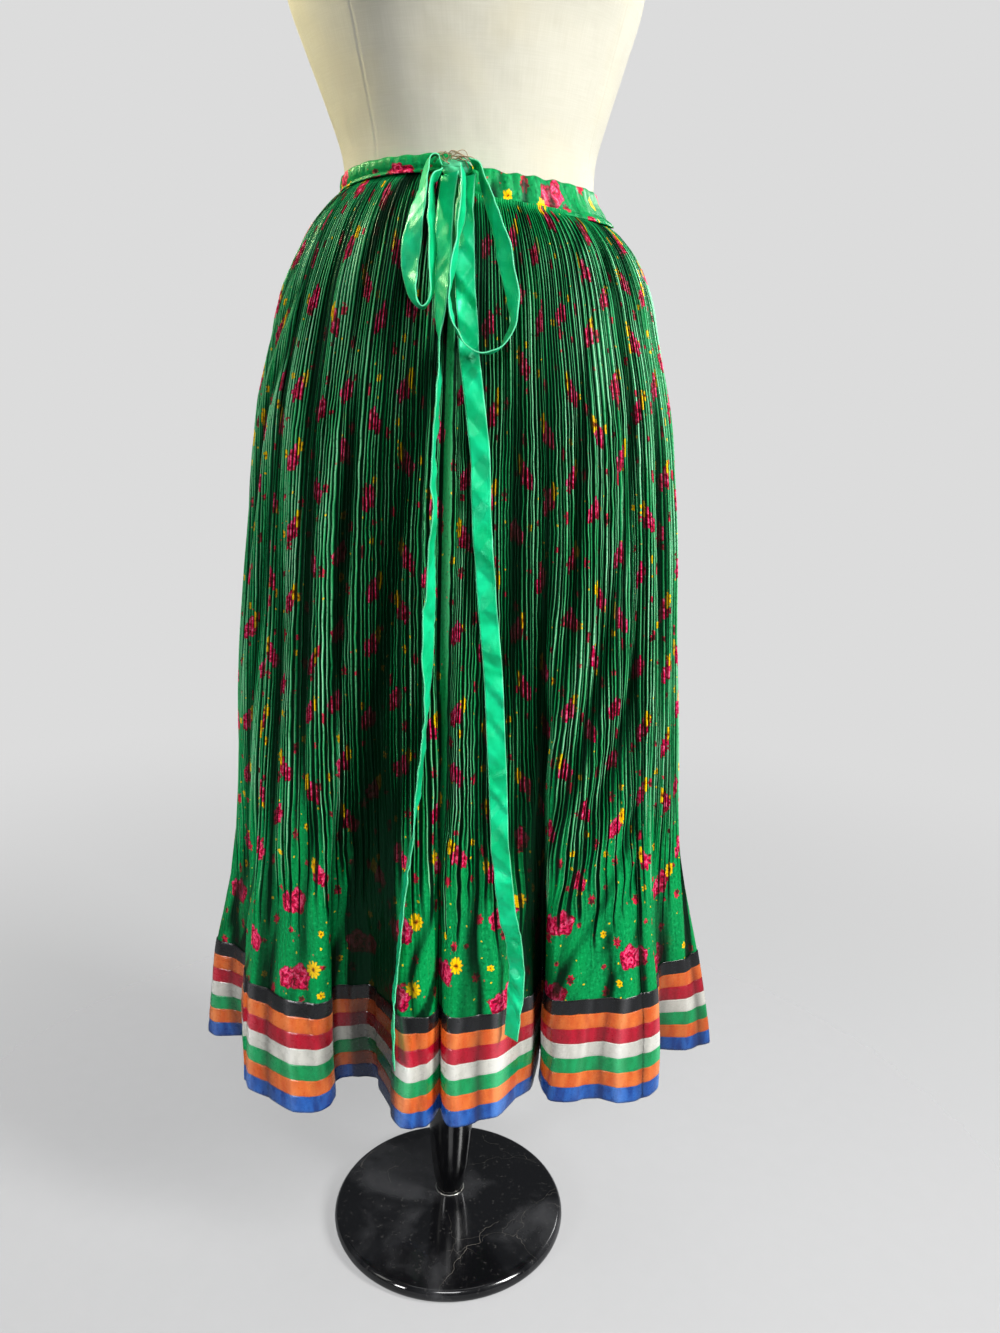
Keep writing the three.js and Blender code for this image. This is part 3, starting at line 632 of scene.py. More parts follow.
def make_linen():
    look = Look("linen", specular_ior_level=0.3, sheen_weight=0.2, sheen_roughness=0.5)
    place, _, _ = look.cloth()
    sway = look.vector("MULTIPLY", look.noise(place, 0.05, output=1), (2.4, 2.4, 0))
    u, v, _ = look.parts(look.vector("ADD", sway, place))
    warp, weft = look.threads(u, 0.5), look.threads(v, 0.46)
    slub_up = look.noise(place, 1, 3, (1.2, 0.03, 1))
    slub_across = look.noise(place, 1, 3, (0.03, 1.2, 1))
    slubs = look.math("ADD", slub_up, slub_across)
    weave = look.times_add(warp, weft, look.times(slubs, 0.5))
    thread = look.step(slubs, 0.8, 1.25)
    colour = look.blend(thread, paint(202, 198, 182), paint(207, 203, 188))
    age = look.noise(place, 0.011, 4)
    colour = look.tint(colour, paint(204, 194, 164), age, 0.45, 0.7, 0.35)
    colour = look.tint(colour, paint(92, 76, 56), look.voronoi(place, 0.009), 0.013, 0.007, 0.6)
    soft = look.bump(look.noise(place, 0.012, 3), 0.004)
    normal = look.bump(weave, 0.00005, soft)
    shine = look.between(slubs, 0.7, 1.3, 0.88, 0.7)
    return look.finish(base_color=colour, roughness=shine, normal=normal)


def make_black_lacquer():
    look = Look("black_lacquer", specular_ior_level=0.5, coat_weight=0.7, coat_roughness=0.08)
    place = look.object_place()
    dust = look.noise(place, 160, 4)
    colour = look.tint(paint(9, 9, 11), paint(60, 60, 62), dust, 0.62, 0.74, 0.3)
    rub = look.noise(place, 14, 3, (1, 1, 0.2))
    peel = look.bump(look.noise(place, 70, 2), 0.0003)
    shine = look.between(rub, 0.3, 0.7, 0.14, 0.26)
    return look.finish(base_color=colour, roughness=shine, normal=peel)


def make_bright_metal():
    look = Look("bright_metal", metallic=1)
    place = look.object_place()
    turned = look.noise(place, 60, 3, (1, 1, 30))
    colour = look.tint(paint(196, 194, 186), paint(232, 230, 224), turned, 0.35, 0.7)
    return look.finish(base_color=colour, roughness=look.between(turned, 0.3, 0.7, 0.2, 0.38),
                       normal=look.bump(turned, 0.0001))


def make_black_marble():
    look = Look("black_marble", specular_ior_level=0.5, coat_weight=0.3, coat_roughness=0.05)
    place = look.object_place()
    bend = look.vector("MULTIPLY", look.noise(place, 7, 5, output=1), (0.16, 0.16, 0.16))
    bent = look.vector("ADD", place, bend)
    clouds = look.noise(bent, 11, 6)
    colour = look.tint(paint(15, 15, 17), paint(66, 66, 68), clouds, 0.46, 0.72, 0.85)
    grain = look.noise(place, 240, 3)
    colour = look.tint(colour, paint(84, 82, 80), grain, 0.6, 0.75, 0.35)
    for scale, width, strength in ((6.5, 0.0009, 0.4), (12, 0.001, 0.25)):
        cracks = look.voronoi(bent, scale, "DISTANCE_TO_EDGE")
        patchy = look.step(look.noise(place, scale, 2), 0.54, 0.62)
        vein = look.times(look.step(cracks, width * 2.5, 0, strength), patchy)
        colour = look.blend(vein, colour, paint(178, 170, 158))
    shine = look.between(look.noise(place, 20, 4), 0.35, 0.7, 0.07, 0.2)
    return look.finish(base_color=colour, roughness=shine, normal=look.bump(grain, 0.00003))


def make_fray():
    look = Look("frayed_thread", roughness=0.7)
    place, _, _ = look.cloth()
    colour = look.blend(look.noise(place, 0.6, 2), paint(112, 58, 40), paint(196, 176, 140))
    return look.finish(base_color=colour, normal=look.bump(look.noise(place, 3), 0.0002))


RIBBON_WIDTH = 15.9
printed_cloth = make_printed_cloth()
drawstring_satin = make_drawstring_satin()
ribbon_satins = {name: make_ribbon_satin(name, shades) for name, shades in RIBBON_COLOURS.items()}
linen = make_linen()
black_lacquer = make_black_lacquer()
bright_metal = make_bright_metal()
black_marble = make_black_marble()
frayed = make_fray()
for piece in satin_pieces:
    piece.data.materials.append(drawstring_satin)


# ---- The skirt's form, in millimetres as it is cut ----
SKIRT_SECTIONS = [    # height, reach to the side, to the front and to the back
    (212, 240, 100, 130), (260, 240, 101, 130), (320, 236, 103, 130), (375, 228.5, 106, 131),
    (428, 222, 110, 133), (480, 217, 113, 134), (580, 209.5, 118, 136), (680, 202, 121, 138),
    (775, 195, 122, 138), (865, 184.5, 120, 135), (950, 163.5, 112, 121), (990, 148, 105, 107),
    (1015, 134, 98, 97), (1038, 113.5, 90, 84),
]
# The large folds, once round from the left side over the front. Each row is an angle on the
# smooth line, the place at the hem where the cloth there falls to, and the height it starts from.
FOLDS = [
    (-95, -261, 15, 560), (-70, -194, -7, 600), (-62, -206, -36, 650), (-56, -204, -67, 700),
    (-45, -173, -98, 740), (-37, -141, -113, 760), (-33.5, -123, -113, 760),
    (-32, -115, -102, 765), (-30.5, -113, -70, 770), (-27, -102, -58, 780), (-22, -84, -57, 790),
    (-18.5, -70, -66, 800), (-16, -62, -90, 800), (-13.5, -54, -118, 800), (-9, -33, -136, 800),
    (-6.4, -18, -131, 810), (-5.3, -13, -118, 830), (-4, -9.5, -92, 860), (-2.8, -6, -118, 830),
    (-1.7, -1, -128, 810), (3, 14, -129, 800), (7, 27, -126, 800), (12, 50, -109, 800),
    (17, 73, -77, 810), (19.5, 84, -58, 810), (20.8, 87, -34, 815), (21.8, 89, -6, 820),
    (22.8, 93, -6, 820), (23.7, 93, -36, 810), (24.7, 92, -72, 790), (26, 96, -88, 770),
    (29, 112, -91, 760), (34, 131, -86, 760), (42, 160, -89, 730), (48, 184, -88, 700),
    (52, 198, -80, 680), (55, 206, -64, 660), (58, 207, -38, 640), (62, 207, -14, 620),
    (68, 215, -4, 600), (76, 235, -3, 590), (84, 256, -1, 570), (93, 278, 11, 560),
    (108, 206, 27, 620), (121, 222, 85, 700), (134, 160, 68, 760), (148, 136, 135, 760),
    (160, 76, 93, 800), (171, 40, 156, 760), (180, 0, 106, 820), (194, -62, 152, 760),
    (211, -115, 85, 760), (228, -192, 109, 700), (247, -199, 34, 620),
]
HEM, CASING_FOOT, CASING_TOP = 212, 1038, 1056
RIBBONS = ["black", "orange", "red", "white", "green", "orange", "blue"]
BAND_TOP = HEM + len(RIBBONS) * RIBBON_WIDTH
FOLD_GROWTH = 1.8
CREASE = 0.5          # how sharp the folds are: 0 is round, 1 is flat between sharp creases
SLIT = {"foot": 780, "open": -2, "spread": 40, "lap": 3.2}    # the left edge lies below the right
PLEAT_FLAT = 10.7     # cloth in one pleat
PRINT_STRETCH = 1.15
PANELS = [            # name, its seams' angles, its pleats, and the side of the slit it is on
    ("front_left", -56, -4, 42, -1), ("front_right", -4, 50, 42, 1),
    ("back_right", 50, 180, 83, 0), ("back_left", 180, 304, 83, 0),
]


def bent(f, a, b, from_a, to_b):
    """A curve from one value to another, with its slope at each end."""
    return (a * (2 * f ** 3 - 3 * f ** 2 + 1) + from_a * (f ** 3 - 2 * f ** 2 + f)
            + b * (3 * f ** 2 - 2 * f ** 3) + to_b * (f ** 3 - f ** 2))


def section_at(table, z):
    """The table's values at each height, on a smooth curve through its rows."""
    table = floats(table)
    heights, values = table[:, 0], table[:, 1:]
    slopes = np.empty_like(values)
    slopes[1:-1] = (values[2:] - values[:-2]) / (heights[2:] - heights[:-2])[:, None]
    slopes[0] = (values[1] - values[0]) / (heights[1] - heights[0])
    slopes[-1] = (values[-1] - values[-2]) / (heights[-1] - heights[-2])
    z = np.clip(floats(z), heights[0], heights[-1])
    i = np.clip(np.searchsorted(heights, z, side="right") - 1, 0, len(heights) - 2)
    gap = heights[i + 1] - heights[i]
    f = ((z - heights[i]) / gap)[..., None]
    gap = gap[..., None]
    return bent(f, values[i], values[i + 1], slopes[i] * gap, slopes[i + 1] * gap)


def on_oval(section, angle, out=0.0):
    """Points on oval sections, angle in degrees from the middle of the front to the right."""
    side, front, back = (section[..., k] for k in range(3))
    turn = np.radians(angle)
    depth = np.where(np.cos(turn) > 0, front, back)
    normal = unit(np.stack([np.sin(turn) * depth, -np.cos(turn) * side], axis=-1))
    place = np.stack([np.sin(turn) * side, -np.cos(turn) * depth], axis=-1)
    return place + normal * np.asarray(out)[..., None]


def from_side(angle):
    """An angle counted on from the left side, where the tables of angles start."""
    return (angle - FOLDS[0][0]) % 360


def folded(angles, z):
    """Places on the smooth line with its large folds, for a row of angles at each height."""
    table = floats(FOLDS + [(FOLDS[0][0] + 360, *FOLDS[0][1:])])
    at, starts = table[:, 0], table[:, 3]
    pulls = table[:, 1:3] - on_oval(section_at(SKIRT_SECTIONS, [HEM]), at)
    grown = np.clip((starts - z[:, None]) / (starts - HEM), 0, 1) ** FOLD_GROWTH
    pulls = pulls * grown[..., None]
    slopes = np.gradient(pulls, at, axis=1)
    turned = from_side(angles) + at[0]
    i = np.clip(np.searchsorted(at, turned, side="right") - 1, 0, len(at) - 2)
    gap = (at[i + 1] - at[i])[:, None]
    f = (turned - at[i])[:, None] / gap
    a, b = pulls[:, i], pulls[:, i + 1]
    curved = bent(f, a, b, slopes[:, i] * gap, slopes[:, i + 1] * gap)
    straight = a * (1 - f) + b * f
    smooth = on_oval(section_at(SKIRT_SECTIONS, z)[:, None], angles[None])
    return smooth + CREASE * straight + (1 - CREASE) * curved


LINE_POINTS = 1800    # of a panel's folded line, before its pleats are spread over it
drift = waves(11, 7, (230, 420))      # the skirt's own soft unevenness
hollow = waves(12, 6, (75, 300))


def panel_lines(panel, shares, z):
    """Where a panel's lines, at shares of its width, run at each height: places and ways out."""
    _, start, end, _, slit_side = panel
    heights = floats(z)[:, None]
    dense = folded(np.linspace(start, end, LINE_POINTS), heights[:, 0])
    run = run_along(dense)
    places = np.empty((len(run), shares.shape[-1], 2))
    shares = np.broadcast_to(shares, places.shape[:2])
    for r, row in enumerate(run):
        for k in range(2):
            places[r, :, k] = np.interp(shares[r] * row[-1], row, dense[r, :, k])
    ways = np.pad(np.gradient(places, axis=1), ((0, 0), (1, 1), (0, 0)), mode="edge")
    ways = unit(ways[:, :-2] + 2 * ways[:, 1:-1] + ways[:, 2:])
    out = np.stack([ways[..., 1], -ways[..., 0]], axis=-1)
    if slit_side:
        away = run[:, -1:] * ((1 - shares) if slit_side < 0 else shares)
        up = np.clip((heights - SLIT["foot"]) / (CASING_TOP - SLIT["foot"]), 0, 1)
        moved = slit_side * SLIT["open"] / 2 * up * np.clip(1 - away / SLIT["spread"], 0, 1)
        places = places + ways * moved[..., None]
    return places, ways, out, run[:, -1:] * shares, start + (end - start) * shares


# ---- Pleated cloth ----
PLEATS = {"front_left": 50, "front_right": 60, "back_right": 104, "back_left": 100}
# The slit's right edge is finished with a flat strip: how much wider than a pleat it is and how
# far the pleats beside it are pushed together, in pleats, how high it stands across its width,
# and how far from the edge the cloth has little shade.
PLACKET = {"slack": [2.3, 1.8, 1.3, 0.8, 0.4], "phases": (0, 0.7, 0.84, 1),
           "heights": (0.62, 0.7, -1, 1), "wide": 26}
# Places within one pleat, from one crest to the next.
PHASES = np.array([0, 0.07, 0.16, 0.3, 0.5, 0.7, 0.84, 0.93])
PLEAT_TOP, TUCK = 1041, 3.4       # the pleats' tops run in under the casing by this much
HEIGHTS = stations(PLEAT_TOP, (1030, 4), (1000, 5), (480, 61), (BAND_TOP, 24), (HEM, 14))
# Where each kind of unevenness begins to show, and the length over which it grows: upwards, or
# downwards where the length is negative.
FADES = {
    "tuck": (1030, PLEAT_TOP - 1030), "soft": (1030, -110), "slit_dip": (600, 150),
    "gathers": (330, 240), "crisp": (400, 220), "least": (BAND_TOP, 18), "waist": (985, 45),
    "low_wobble": (620, -200), "wobble": (330, 60), "wobble_end": (1030, -60),
    "kinks": (340, 60), "kinks_end": (960, -120), "facets": (BAND_TOP + 150, -140),
    "slit_lap": (700, 120), "waist_shift": (925, PLEAT_TOP - 925), "flare": (1052, -14),
}
# The drawstring pulls the waist up and down: an angle, how far the casing's foot moves there,
# and how much of the casing's height shows where it has rolled over.
WAIST_SHIFTS = [
    (-95, 1, 0.72), (-75, 3, 0.72), (-45, 7.5, 0.68), (-20, 9, 0.68), (-6, 7, 0.8), (-2, -6, 1.15),
    (10, -12, 1.25), (25, -15, 1.3), (45, -17, 1.35), (75, -17, 1.35), (110, -9, 0.95),
    (180, -3, 0.8), (240, 0, 0.75), (265, 1, 0.72),
]
# How strong each is: in millimetres, and in the last row as a share of the pleats' depth.
UNEVEN = {
    "drift": 1.1, "hollow": 0.9, "slit_dip": 2.2, "gathers": 2.4, "wobble": 0.35,
    "low_wobble": 1.25, "kinks": 0.42,
    "lean": 0.22, "waist": 0.3, "tuck": 0.72, "least": 0.09,
}
lean_of = waves(13, 6, (60, 260))
wobble_of = waves(14, 8, (55, 170))
kinks = waves(15, 12, (16, 36))
gathers = waves(17, 12, (34, 700))


def fade(z, name):
    return ramp(z, *FADES[name])


def waist_shift(angle, z):
    """How far the waist is moved up at each angle, less and less on the way down."""
    return section_at(WAIST_SHIFTS, from_side(angle) + FOLDS[0][0])[..., 0] * fade(z, "waist_shift")


def soft_form(run, angle, z):
    """How far the cloth stands off its smooth line: soft hollows, and the tuck at the waist."""
    soft = UNEVEN["drift"] * drift(run, z) + UNEVEN["hollow"] * hollow(run, z)
    soft = soft - UNEVEN["slit_dip"] * (near(angle + 10, 6) * fade(z, "slit_dip"))
    gathered = UNEVEN["gathers"] * gathers(run, z) * fade(z, "gathers")
    return fade(z, "soft") * (soft + gathered) - TUCK * fade(z, "tuck")


RECESS = {"columns": 720, "rows": 40, "beside": 30}


def recess_table():
    """How far each place lies behind its neighbours, in millimetres, by height and angle."""
    angles = np.arange(RECESS["columns"]) * 360 / RECESS["columns"]
    heights = np.linspace(HEM, CASING_TOP, RECESS["rows"])
    reach = np.linalg.norm(folded(angles + FOLDS[0][0], heights), axis=-1)
    beside, count = RECESS["beside"], 2 * RECESS["beside"] + 1
    wide = np.concatenate([reach[:, -beside:], reach, reach[:, :beside]], axis=1)
    return np.array([np.convolve(row, np.ones(count) / count, "valid") for row in wide]) - reach


RECESSES = recess_table()


def recess(angle, z):
    """The same at any heights and angles, between the rows of the table."""
    column = (from_side(angle) * (RECESS["columns"] / 360)).astype(int) % RECESS["columns"]
    last = RECESS["rows"] - 1
    row = np.clip((z - HEM) / (CASING_TOP - HEM) * last, 0, last - 0.001)
    low = row.astype(int)
    part = row - low
    return RECESSES[low, column] * (1 - part) + RECESSES[low + 1, column] * part


# One pleat: how far its edges shift, in pleats, its size, the heights where it ends and where it
# is whole, how much higher those are for every other one, its lean, how sharp its crests are and
# how deep it is, as a share of its width.
PLEAT = {"shift": 0.3, "size": (0.74, 1.14), "ends": (335, 395), "whole": (425, 540),
         "every_other": (50, 90), "lean": 0.16, "sharp": 1.2, "deep": 0.46}


def pleat_form(count, pleat, phase, z, seed, deepest, placket):
    """Each place's share across the panel, and the depth, height and lean of its pleat."""
    chance = np.random.RandomState(seed)
    slack = np.concatenate([[0], chance.uniform(-PLEAT["shift"], PLEAT["shift"], count - 1), [0]])
    if placket:
        slack[1:6] = PLACKET["slack"]
    begin, end = pleat + slack[pleat], pleat + 1 + slack[pleat + 1]
    share = (begin + (end - begin) * phase) / count
    size = chance.uniform(*PLEAT["size"], count)
    ends, whole = (chance.uniform(*PLEAT[key], count) for key in ("ends", "whole"))
    ends[1::2] += PLEAT["every_other"][0]
    whole[1::2] += PLEAT["every_other"][1]
    own_lean = chance.uniform(-PLEAT["lean"], PLEAT["lean"], count)
    from_crest = 2 * np.minimum(phase, 1 - phase)
    crisp = 1 - 2 * from_crest ** PLEAT["sharp"]
    rounded = np.cos(math.pi * from_crest)
    z = z[:, None]
    height = rounded + (crisp - rounded) * fade(z, "crisp")
    if placket:
        flat = np.interp(phase, PLACKET["phases"], PLACKET["heights"])
        height = np.where(pleat == 0, flat, height)
    shown = ramp(z, ends[pleat], whole[pleat] - ends[pleat])
    shown = np.maximum(shown, UNEVEN["least"] * fade(z, "least"))
    waist = 1 - UNEVEN["waist"] * fade(z, "waist")
    tuck = 1 - UNEVEN["tuck"] * fade(z, "tuck")
    return share, deepest * size[pleat] * shown * waist * tuck, height, own_lean[pleat]


def panel_piece(panel):
    """One width of the cloth, pleated down to the ribbons."""
    name, _, _, wide, slit_side = panel
    count = PLEATS[name]
    wide, z = wide * PLEAT_FLAT, HEIGHTS
    deepest = PLEAT["deep"] * wide / count
    pleat = np.repeat(np.arange(count), len(PHASES))
    phase = np.tile(PHASES, count)
    pleat, phase = np.append(pleat, count - 1), np.append(phase, 1.0)
    seed, placket = 100 + count + slit_side, slit_side > 0
    share, depth, height, own_lean = pleat_form(count, pleat, phase, z, seed, deepest, placket)
    places, ways, out, run, angle = panel_lines(panel, share[None], z)
    heights = z[:, None]
    whole = run + PANEL_STARTS[name]
    ends = smooth_step(np.minimum(share, 1 - share) * count / 2)[None]
    along = (lean_of(whole, heights) * UNEVEN["lean"] + own_lean) * height * depth
    wobble = UNEVEN["wobble"] + UNEVEN["low_wobble"] * fade(heights, "low_wobble")
    along += wobble_of(whole, heights) * wobble * fade(heights, "wobble") * fade(heights, "wobble_end")
    kinked = kinks(whole, heights) * fade(heights, "kinks") * fade(heights, "kinks_end")
    along += UNEVEN["kinks"] * kinked
    off = soft_form(whole, angle, heights) + height * depth / 2
    cloth_at = HEM_RUNS[name][0] / MM + share[None] * HEM_RUNS[name][1]
    facets = open_facets(cloth_at, heights) * fade(heights, "facets")
    off = off + FACET_RISE * facets
    moved = waist_shift(angle, heights)
    off = off - np.where(moved < 0, 0.6, 0.3) * moved
    if slit_side < 0:
        from_slit = (1 - share[None]) * run[:, -1:]
        off = off - SLIT["lap"] * near(from_slit, 7) * fade(heights, "slit_lap")
    xy = places + out * off[..., None] + ways * (along * ends)[..., None]
    uv = pairs(cloth_at * MM * PRINT_STRETCH, heights * MM)
    piece = sheet_object(f"cloth_{name}", raised(xy, heights + moved), uv)
    # The numbers that the cloth's material reads for its painted shade and painted highlight: shade in
    # the pleats' valleys, in recesses behind the neighbouring folds, in the hollows of the gathers and
    # on facets turned in, less beside the slit; highlight on the crests.
    strength = np.clip(1.4 * depth / deepest - 0.24, 0, 1)
    hollows = -0.6 * gathers(whole, np.maximum(heights, 500))
    behind = np.clip(recess(angle, heights) / 11, 0, 0.8) + np.clip(hollows, 0, 0.6) \
        + np.clip(-0.8 * facets, 0, 0.7)
    if placket:
        behind = behind * (1 - 0.9 * near(run, PLACKET["wide"]))
    shade = 1 - (1 - (1 - height) / 2 * strength) * (1 - 0.6 * np.clip(behind, 0, 0.97))
    light = np.clip(height, 0, 1) * strength * (1 - np.clip(behind, 0, 1))
    mark_points(piece, valley=shade, ridge=light)
    stand_for(piece, name, "printed_cloth", printed_cloth)


def open_facets(place, z):
    """The facets of the cloth above the hem and of its ribbons, where the pleats have opened."""
    return np.interp(place + FACET_SWAY * facet_sway(place, z), *FACETS)


def panel_runs(z, scale):
    """Where each panel begins along the folded line at a height, and its length there in mm."""
    runs, start = {}, 0.0
    for panel in PANELS:
        length = float(panel_lines(panel, np.linspace(0, 1, 400)[None], [z])[3][0, -1])
        runs[panel[0]] = (start * scale, length)
        start += length
    return runs


PANEL_STARTS = {name: start for name, (start, _) in panel_runs(400, 1).items()}
HEM_RUNS = panel_runs(BAND_TOP, MM)
EDGE_RUNS = panel_runs(HEM, MM)
FACETS = facet_line(62, sum(length for _, length in HEM_RUNS.values()), (11, 30))
FACET_SWAY = 3.5      # how far the facets' edges wander
facet_sway = waves(61, 6, (160, 180))

# ---- The ribbons round the hem: how far each row of one stands off the cloth ----
RIBBON_ROWS = [(-0.03, 0.8), (0, 1.15), (0.1, 1.15), (0.3, 1.2), (0.5, 1.2), (0.7, 1.15), (0.9, 1.1),
               (1, 0.95)]
HEM_TURN = [(1.04, 0.55), (1.055, -0.1), (1.03, -0.7), (0.7, -0.7)]
RIBBON_STEP = 2.2
FACET_RISE, PUCKER, HEM_DRIFT = 3.2, 0.06, 0.35
hem_drift = waves(80, 5, (70, 900))


def hem_ribbon_piece(i):
    """A satin ribbon in one length round the hem, puckered where it is sewn."""
    colour = RIBBONS[i]
    profile = RIBBON_ROWS[:-1] + HEM_TURN if i == len(RIBBONS) - 1 else RIBBON_ROWS
    top = BAND_TOP - i * RIBBON_WIDTH
    z = np.array([top - RIBBON_WIDTH * f for f, _ in profile])
    sample = np.maximum(z, HEM)
    lines = []
    for panel in PANELS[1:] + PANELS[:1]:
        shares = np.linspace(0, 1, int(EDGE_RUNS[panel[0]][1] / RIBBON_STEP))[None]
        places, _, out, run, angle = panel_lines(panel, shares, sample)
        off = soft_form(run + PANEL_STARTS[panel[0]], angle, sample[:, None])
        start, whole = HEM_RUNS[panel[0]]
        cloth_at = np.broadcast_to(start / MM + whole * shares, angle.shape)
        lines.append((places + out * off[..., None], out, angle, cloth_at))
    xy, out, angle, cloth_at = (np.concatenate(part, axis=1) for part in zip(*lines))
    run = run_along(xy)
    along = np.broadcast_to(run[:1], run.shape)
    pucker = waves(40 + i, 9, (14, 30))
    rise = np.array([r for _, r in profile])[:, None]
    level = (np.array([f for f, _ in profile]) + i)[:, None] * RIBBON_WIDTH
    facets = open_facets(cloth_at, sample[:, None])
    off = rise + FACET_RISE * facets + PUCKER * np.clip(rise, 0, 1) * pucker(along, level)
    xy = xy + out * off[..., None]
    height = z[:, None] + HEM_DRIFT * hem_drift(along, level)
    uv = pairs(along * MM, (level - i * RIBBON_WIDTH) * MM)
    piece = sheet_object(f"ribbon_{i + 1}_{colour}", raised(xy, height), uv)
    # The numbers for the ribbon's painted shade, in recesses and on facets turned in, and its painted
    # highlight, on facets turned out.
    behind = np.clip(recess(angle, sample[:, None]) / 22, 0, 0.9)
    shade = 1 - (1 - behind) * (1 - np.clip(-0.5 * facets, 0, 0.6))
    mark_points(piece, valley=shade, ridge=np.clip(0.9 * facets, 0, 1) * (1 - behind))
    stand_for(piece, f"hem_ribbon_{i + 1}_{colour}", f"ribbon_{colour}", ribbon_satins[colour])


# ---- The dress form ----
FORM_SECTIONS = [
    (724, 128, 80, 90), (734, 152, 95, 108), (765, 168, 104, 119), (810, 177, 109, 126),
    (860, 178, 111, 126), (910, 167, 107, 118), (960, 149, 101, 104), (1000, 128, 93, 89),
    (1024, 113.5, 87.2, 81), (1038, 108.2, 85, 78.2), (1047, 106.8, 84.2, 77.2),
    (1056, 106.8, 84, 77), (1075, 109, 84.5, 77.5), (1110, 120, 88, 81), (1150, 134, 94, 87),
    (1190, 147, 101, 93), (1240, 154, 106, 98), (1290, 153, 101, 99), (1340, 153, 89, 97),
    (1380, 162, 77, 88), (1408, 158, 66, 74), (1430, 125, 56, 62), (1450, 78, 49, 52),
    (1470, 55, 45, 47), (1500, 50, 43, 45),
]
BUST = {"middle": 12, "angle": 32, "width": 20, "height": 1240, "tall": 48, "out": 22}
FORM_SEAMS = [-43.5, 67.5, 150, 192, 234]     # where the linen's widths meet
SEAM = {"wide": 1.3, "deep": 0.17, "lip": 0.08, "lip_at": 2.6}
FORM_LEAN = [(1056, 0), (1120, -3), (1180, -6), (1240, -8), (1340, -6), (1450, 0)]
SEAM_SLANT = [(1056, 0), (1240, 7.5), (1400, 8)]     # degrees the princess seams move in, upwards
SLANTED_SEAMS = {FORM_SEAMS[0]: 1, FORM_SEAMS[1]: -1}
# The form's columns, in degrees: how far apart they are, how far they keep from the seams, and
# the finer ones that each seam has.
FORM_STEP, SEAM_CLEAR = 3.0, 2.8
SEAM_STEPS = 0.55 * np.array([-4, -2.6, -1.8, -1.2, -0.7, -0.35, 0, 0.35, 0.7, 1.2, 1.8, 2.6, 4])
LINEN_AROUND = 0.13   # metres of linen to a radian


def wrapped(angle):
    return (angle + 180) % 360 - 180


def form_points(z, angles):
    """Points of the dress form at rows of heights, in millimetres."""
    heights = floats(z)[:, None]
    section = section_at(FORM_SECTIONS, heights[:, 0])[:, None]
    across = near(abs(wrapped(angles[None] - BUST["middle"])) - BUST["angle"], BUST["width"])
    out = BUST["out"] * across * near(heights - BUST["height"], BUST["tall"])
    angles = straight = angles[None] + np.zeros_like(heights)
    slant = section_at(SEAM_SLANT, heights)[..., 0]
    for seam, way in SLANTED_SEAMS.items():
        angles = angles + way * slant * near(straight - seam, 20)
    for seam in FORM_SEAMS:
        slanted = SLANTED_SEAMS.get(seam, 0) * slant
        away = np.abs(wrapped(angles - slanted - seam)) * math.pi / 180 * section[..., 0]
        out = out - SEAM["deep"] * near(away, SEAM["wide"])
        out = out + SEAM["lip"] * near(away - SEAM["lip_at"], SEAM["wide"])
    xy = on_oval(section, angles, out)
    xy[..., 0] += section_at(FORM_LEAN, heights)[..., 0]
    return raised(xy, heights)


def form_piece():
    """The linen covered torso, smooth and whole."""
    angles = [a for a in np.arange(-180, 180, FORM_STEP)
              if all(abs(wrapped(a - seam)) > SEAM_CLEAR for seam in FORM_SEAMS)]
    angles = np.sort(angles + [wrapped(seam + f) for seam in FORM_SEAMS for f in SEAM_STEPS])
    foot, top = FORM_SECTIONS[0][0], FORM_SECTIONS[-1][0]
    z = stations(foot, (740, 5), (1380, 81), (top, 25))
    wall = form_points(z, angles)
    centre_low, centre_top = np.array([0, 5.0, foot]), np.array([0, 1.0, top])
    underside = [centre_low + (wall[0] - centre_low) * f for f in (0.25, 0.7, 0.97)]
    neck = [centre_top + (wall[-1] - centre_top) * f for f in (0.9, 0.4)]
    rows = np.stack([*underside, *wall, *neck])
    count, columns = rows.shape[:2]
    points = np.concatenate([rows.reshape(-1, 3), [centre_low, centre_top]])
    faces = list(grid_faces(count, columns, closed=True))
    last = (count - 1) * columns
    for k in range(columns):
        after = (k + 1) % columns
        faces += [(count * columns, after, k), (count * columns + 1, last + k, last + after)]
    up = np.concatenate([[0.60, 0.65, 0.70], z * MM, [1.51, 1.53]])
    uv = pairs(np.radians(angles) * LINEN_AROUND, up[:, None]).reshape(-1, 2)
    uv = np.concatenate([uv, [[0, 0.55], [0, 1.55]]])
    piece = mesh_object("linen_torso", points * MM, faces, uv)
    stand_for(piece, "form_body", "linen", linen)


# ---- The casing: its cross-section as steps off the form and heights, and its gathers ----
CASING_SECTION = [
    (0.6, 1040), (0.6, 1047), (0.6, 1054), (1.0, 1056.3), (2.0, 1057.2), (3.1, 1056.6),
    (3.9, 1054.5), (4.3, 1051), (4.3, 1047.5), (4.0, 1044.5), (3.2, 1042.4), (3.0, 1041.7),
    (3.5, 1041), (4.7, 1039.4), (5.2, 1037.4), (4.6, 1036.8), (2.0, 1038.4),
]
CASING = {"gap": 10, "columns": 760, "round": 108, "flare": 6.5, "gather": 1.3, "drift": 1.1}
# It is gathered this much, and more at these angles on from the slit, over this width.
GATHERED, GATHERED_MORE = 0.35, [(0.9, 22, 26), (0.35, 190, 60)]


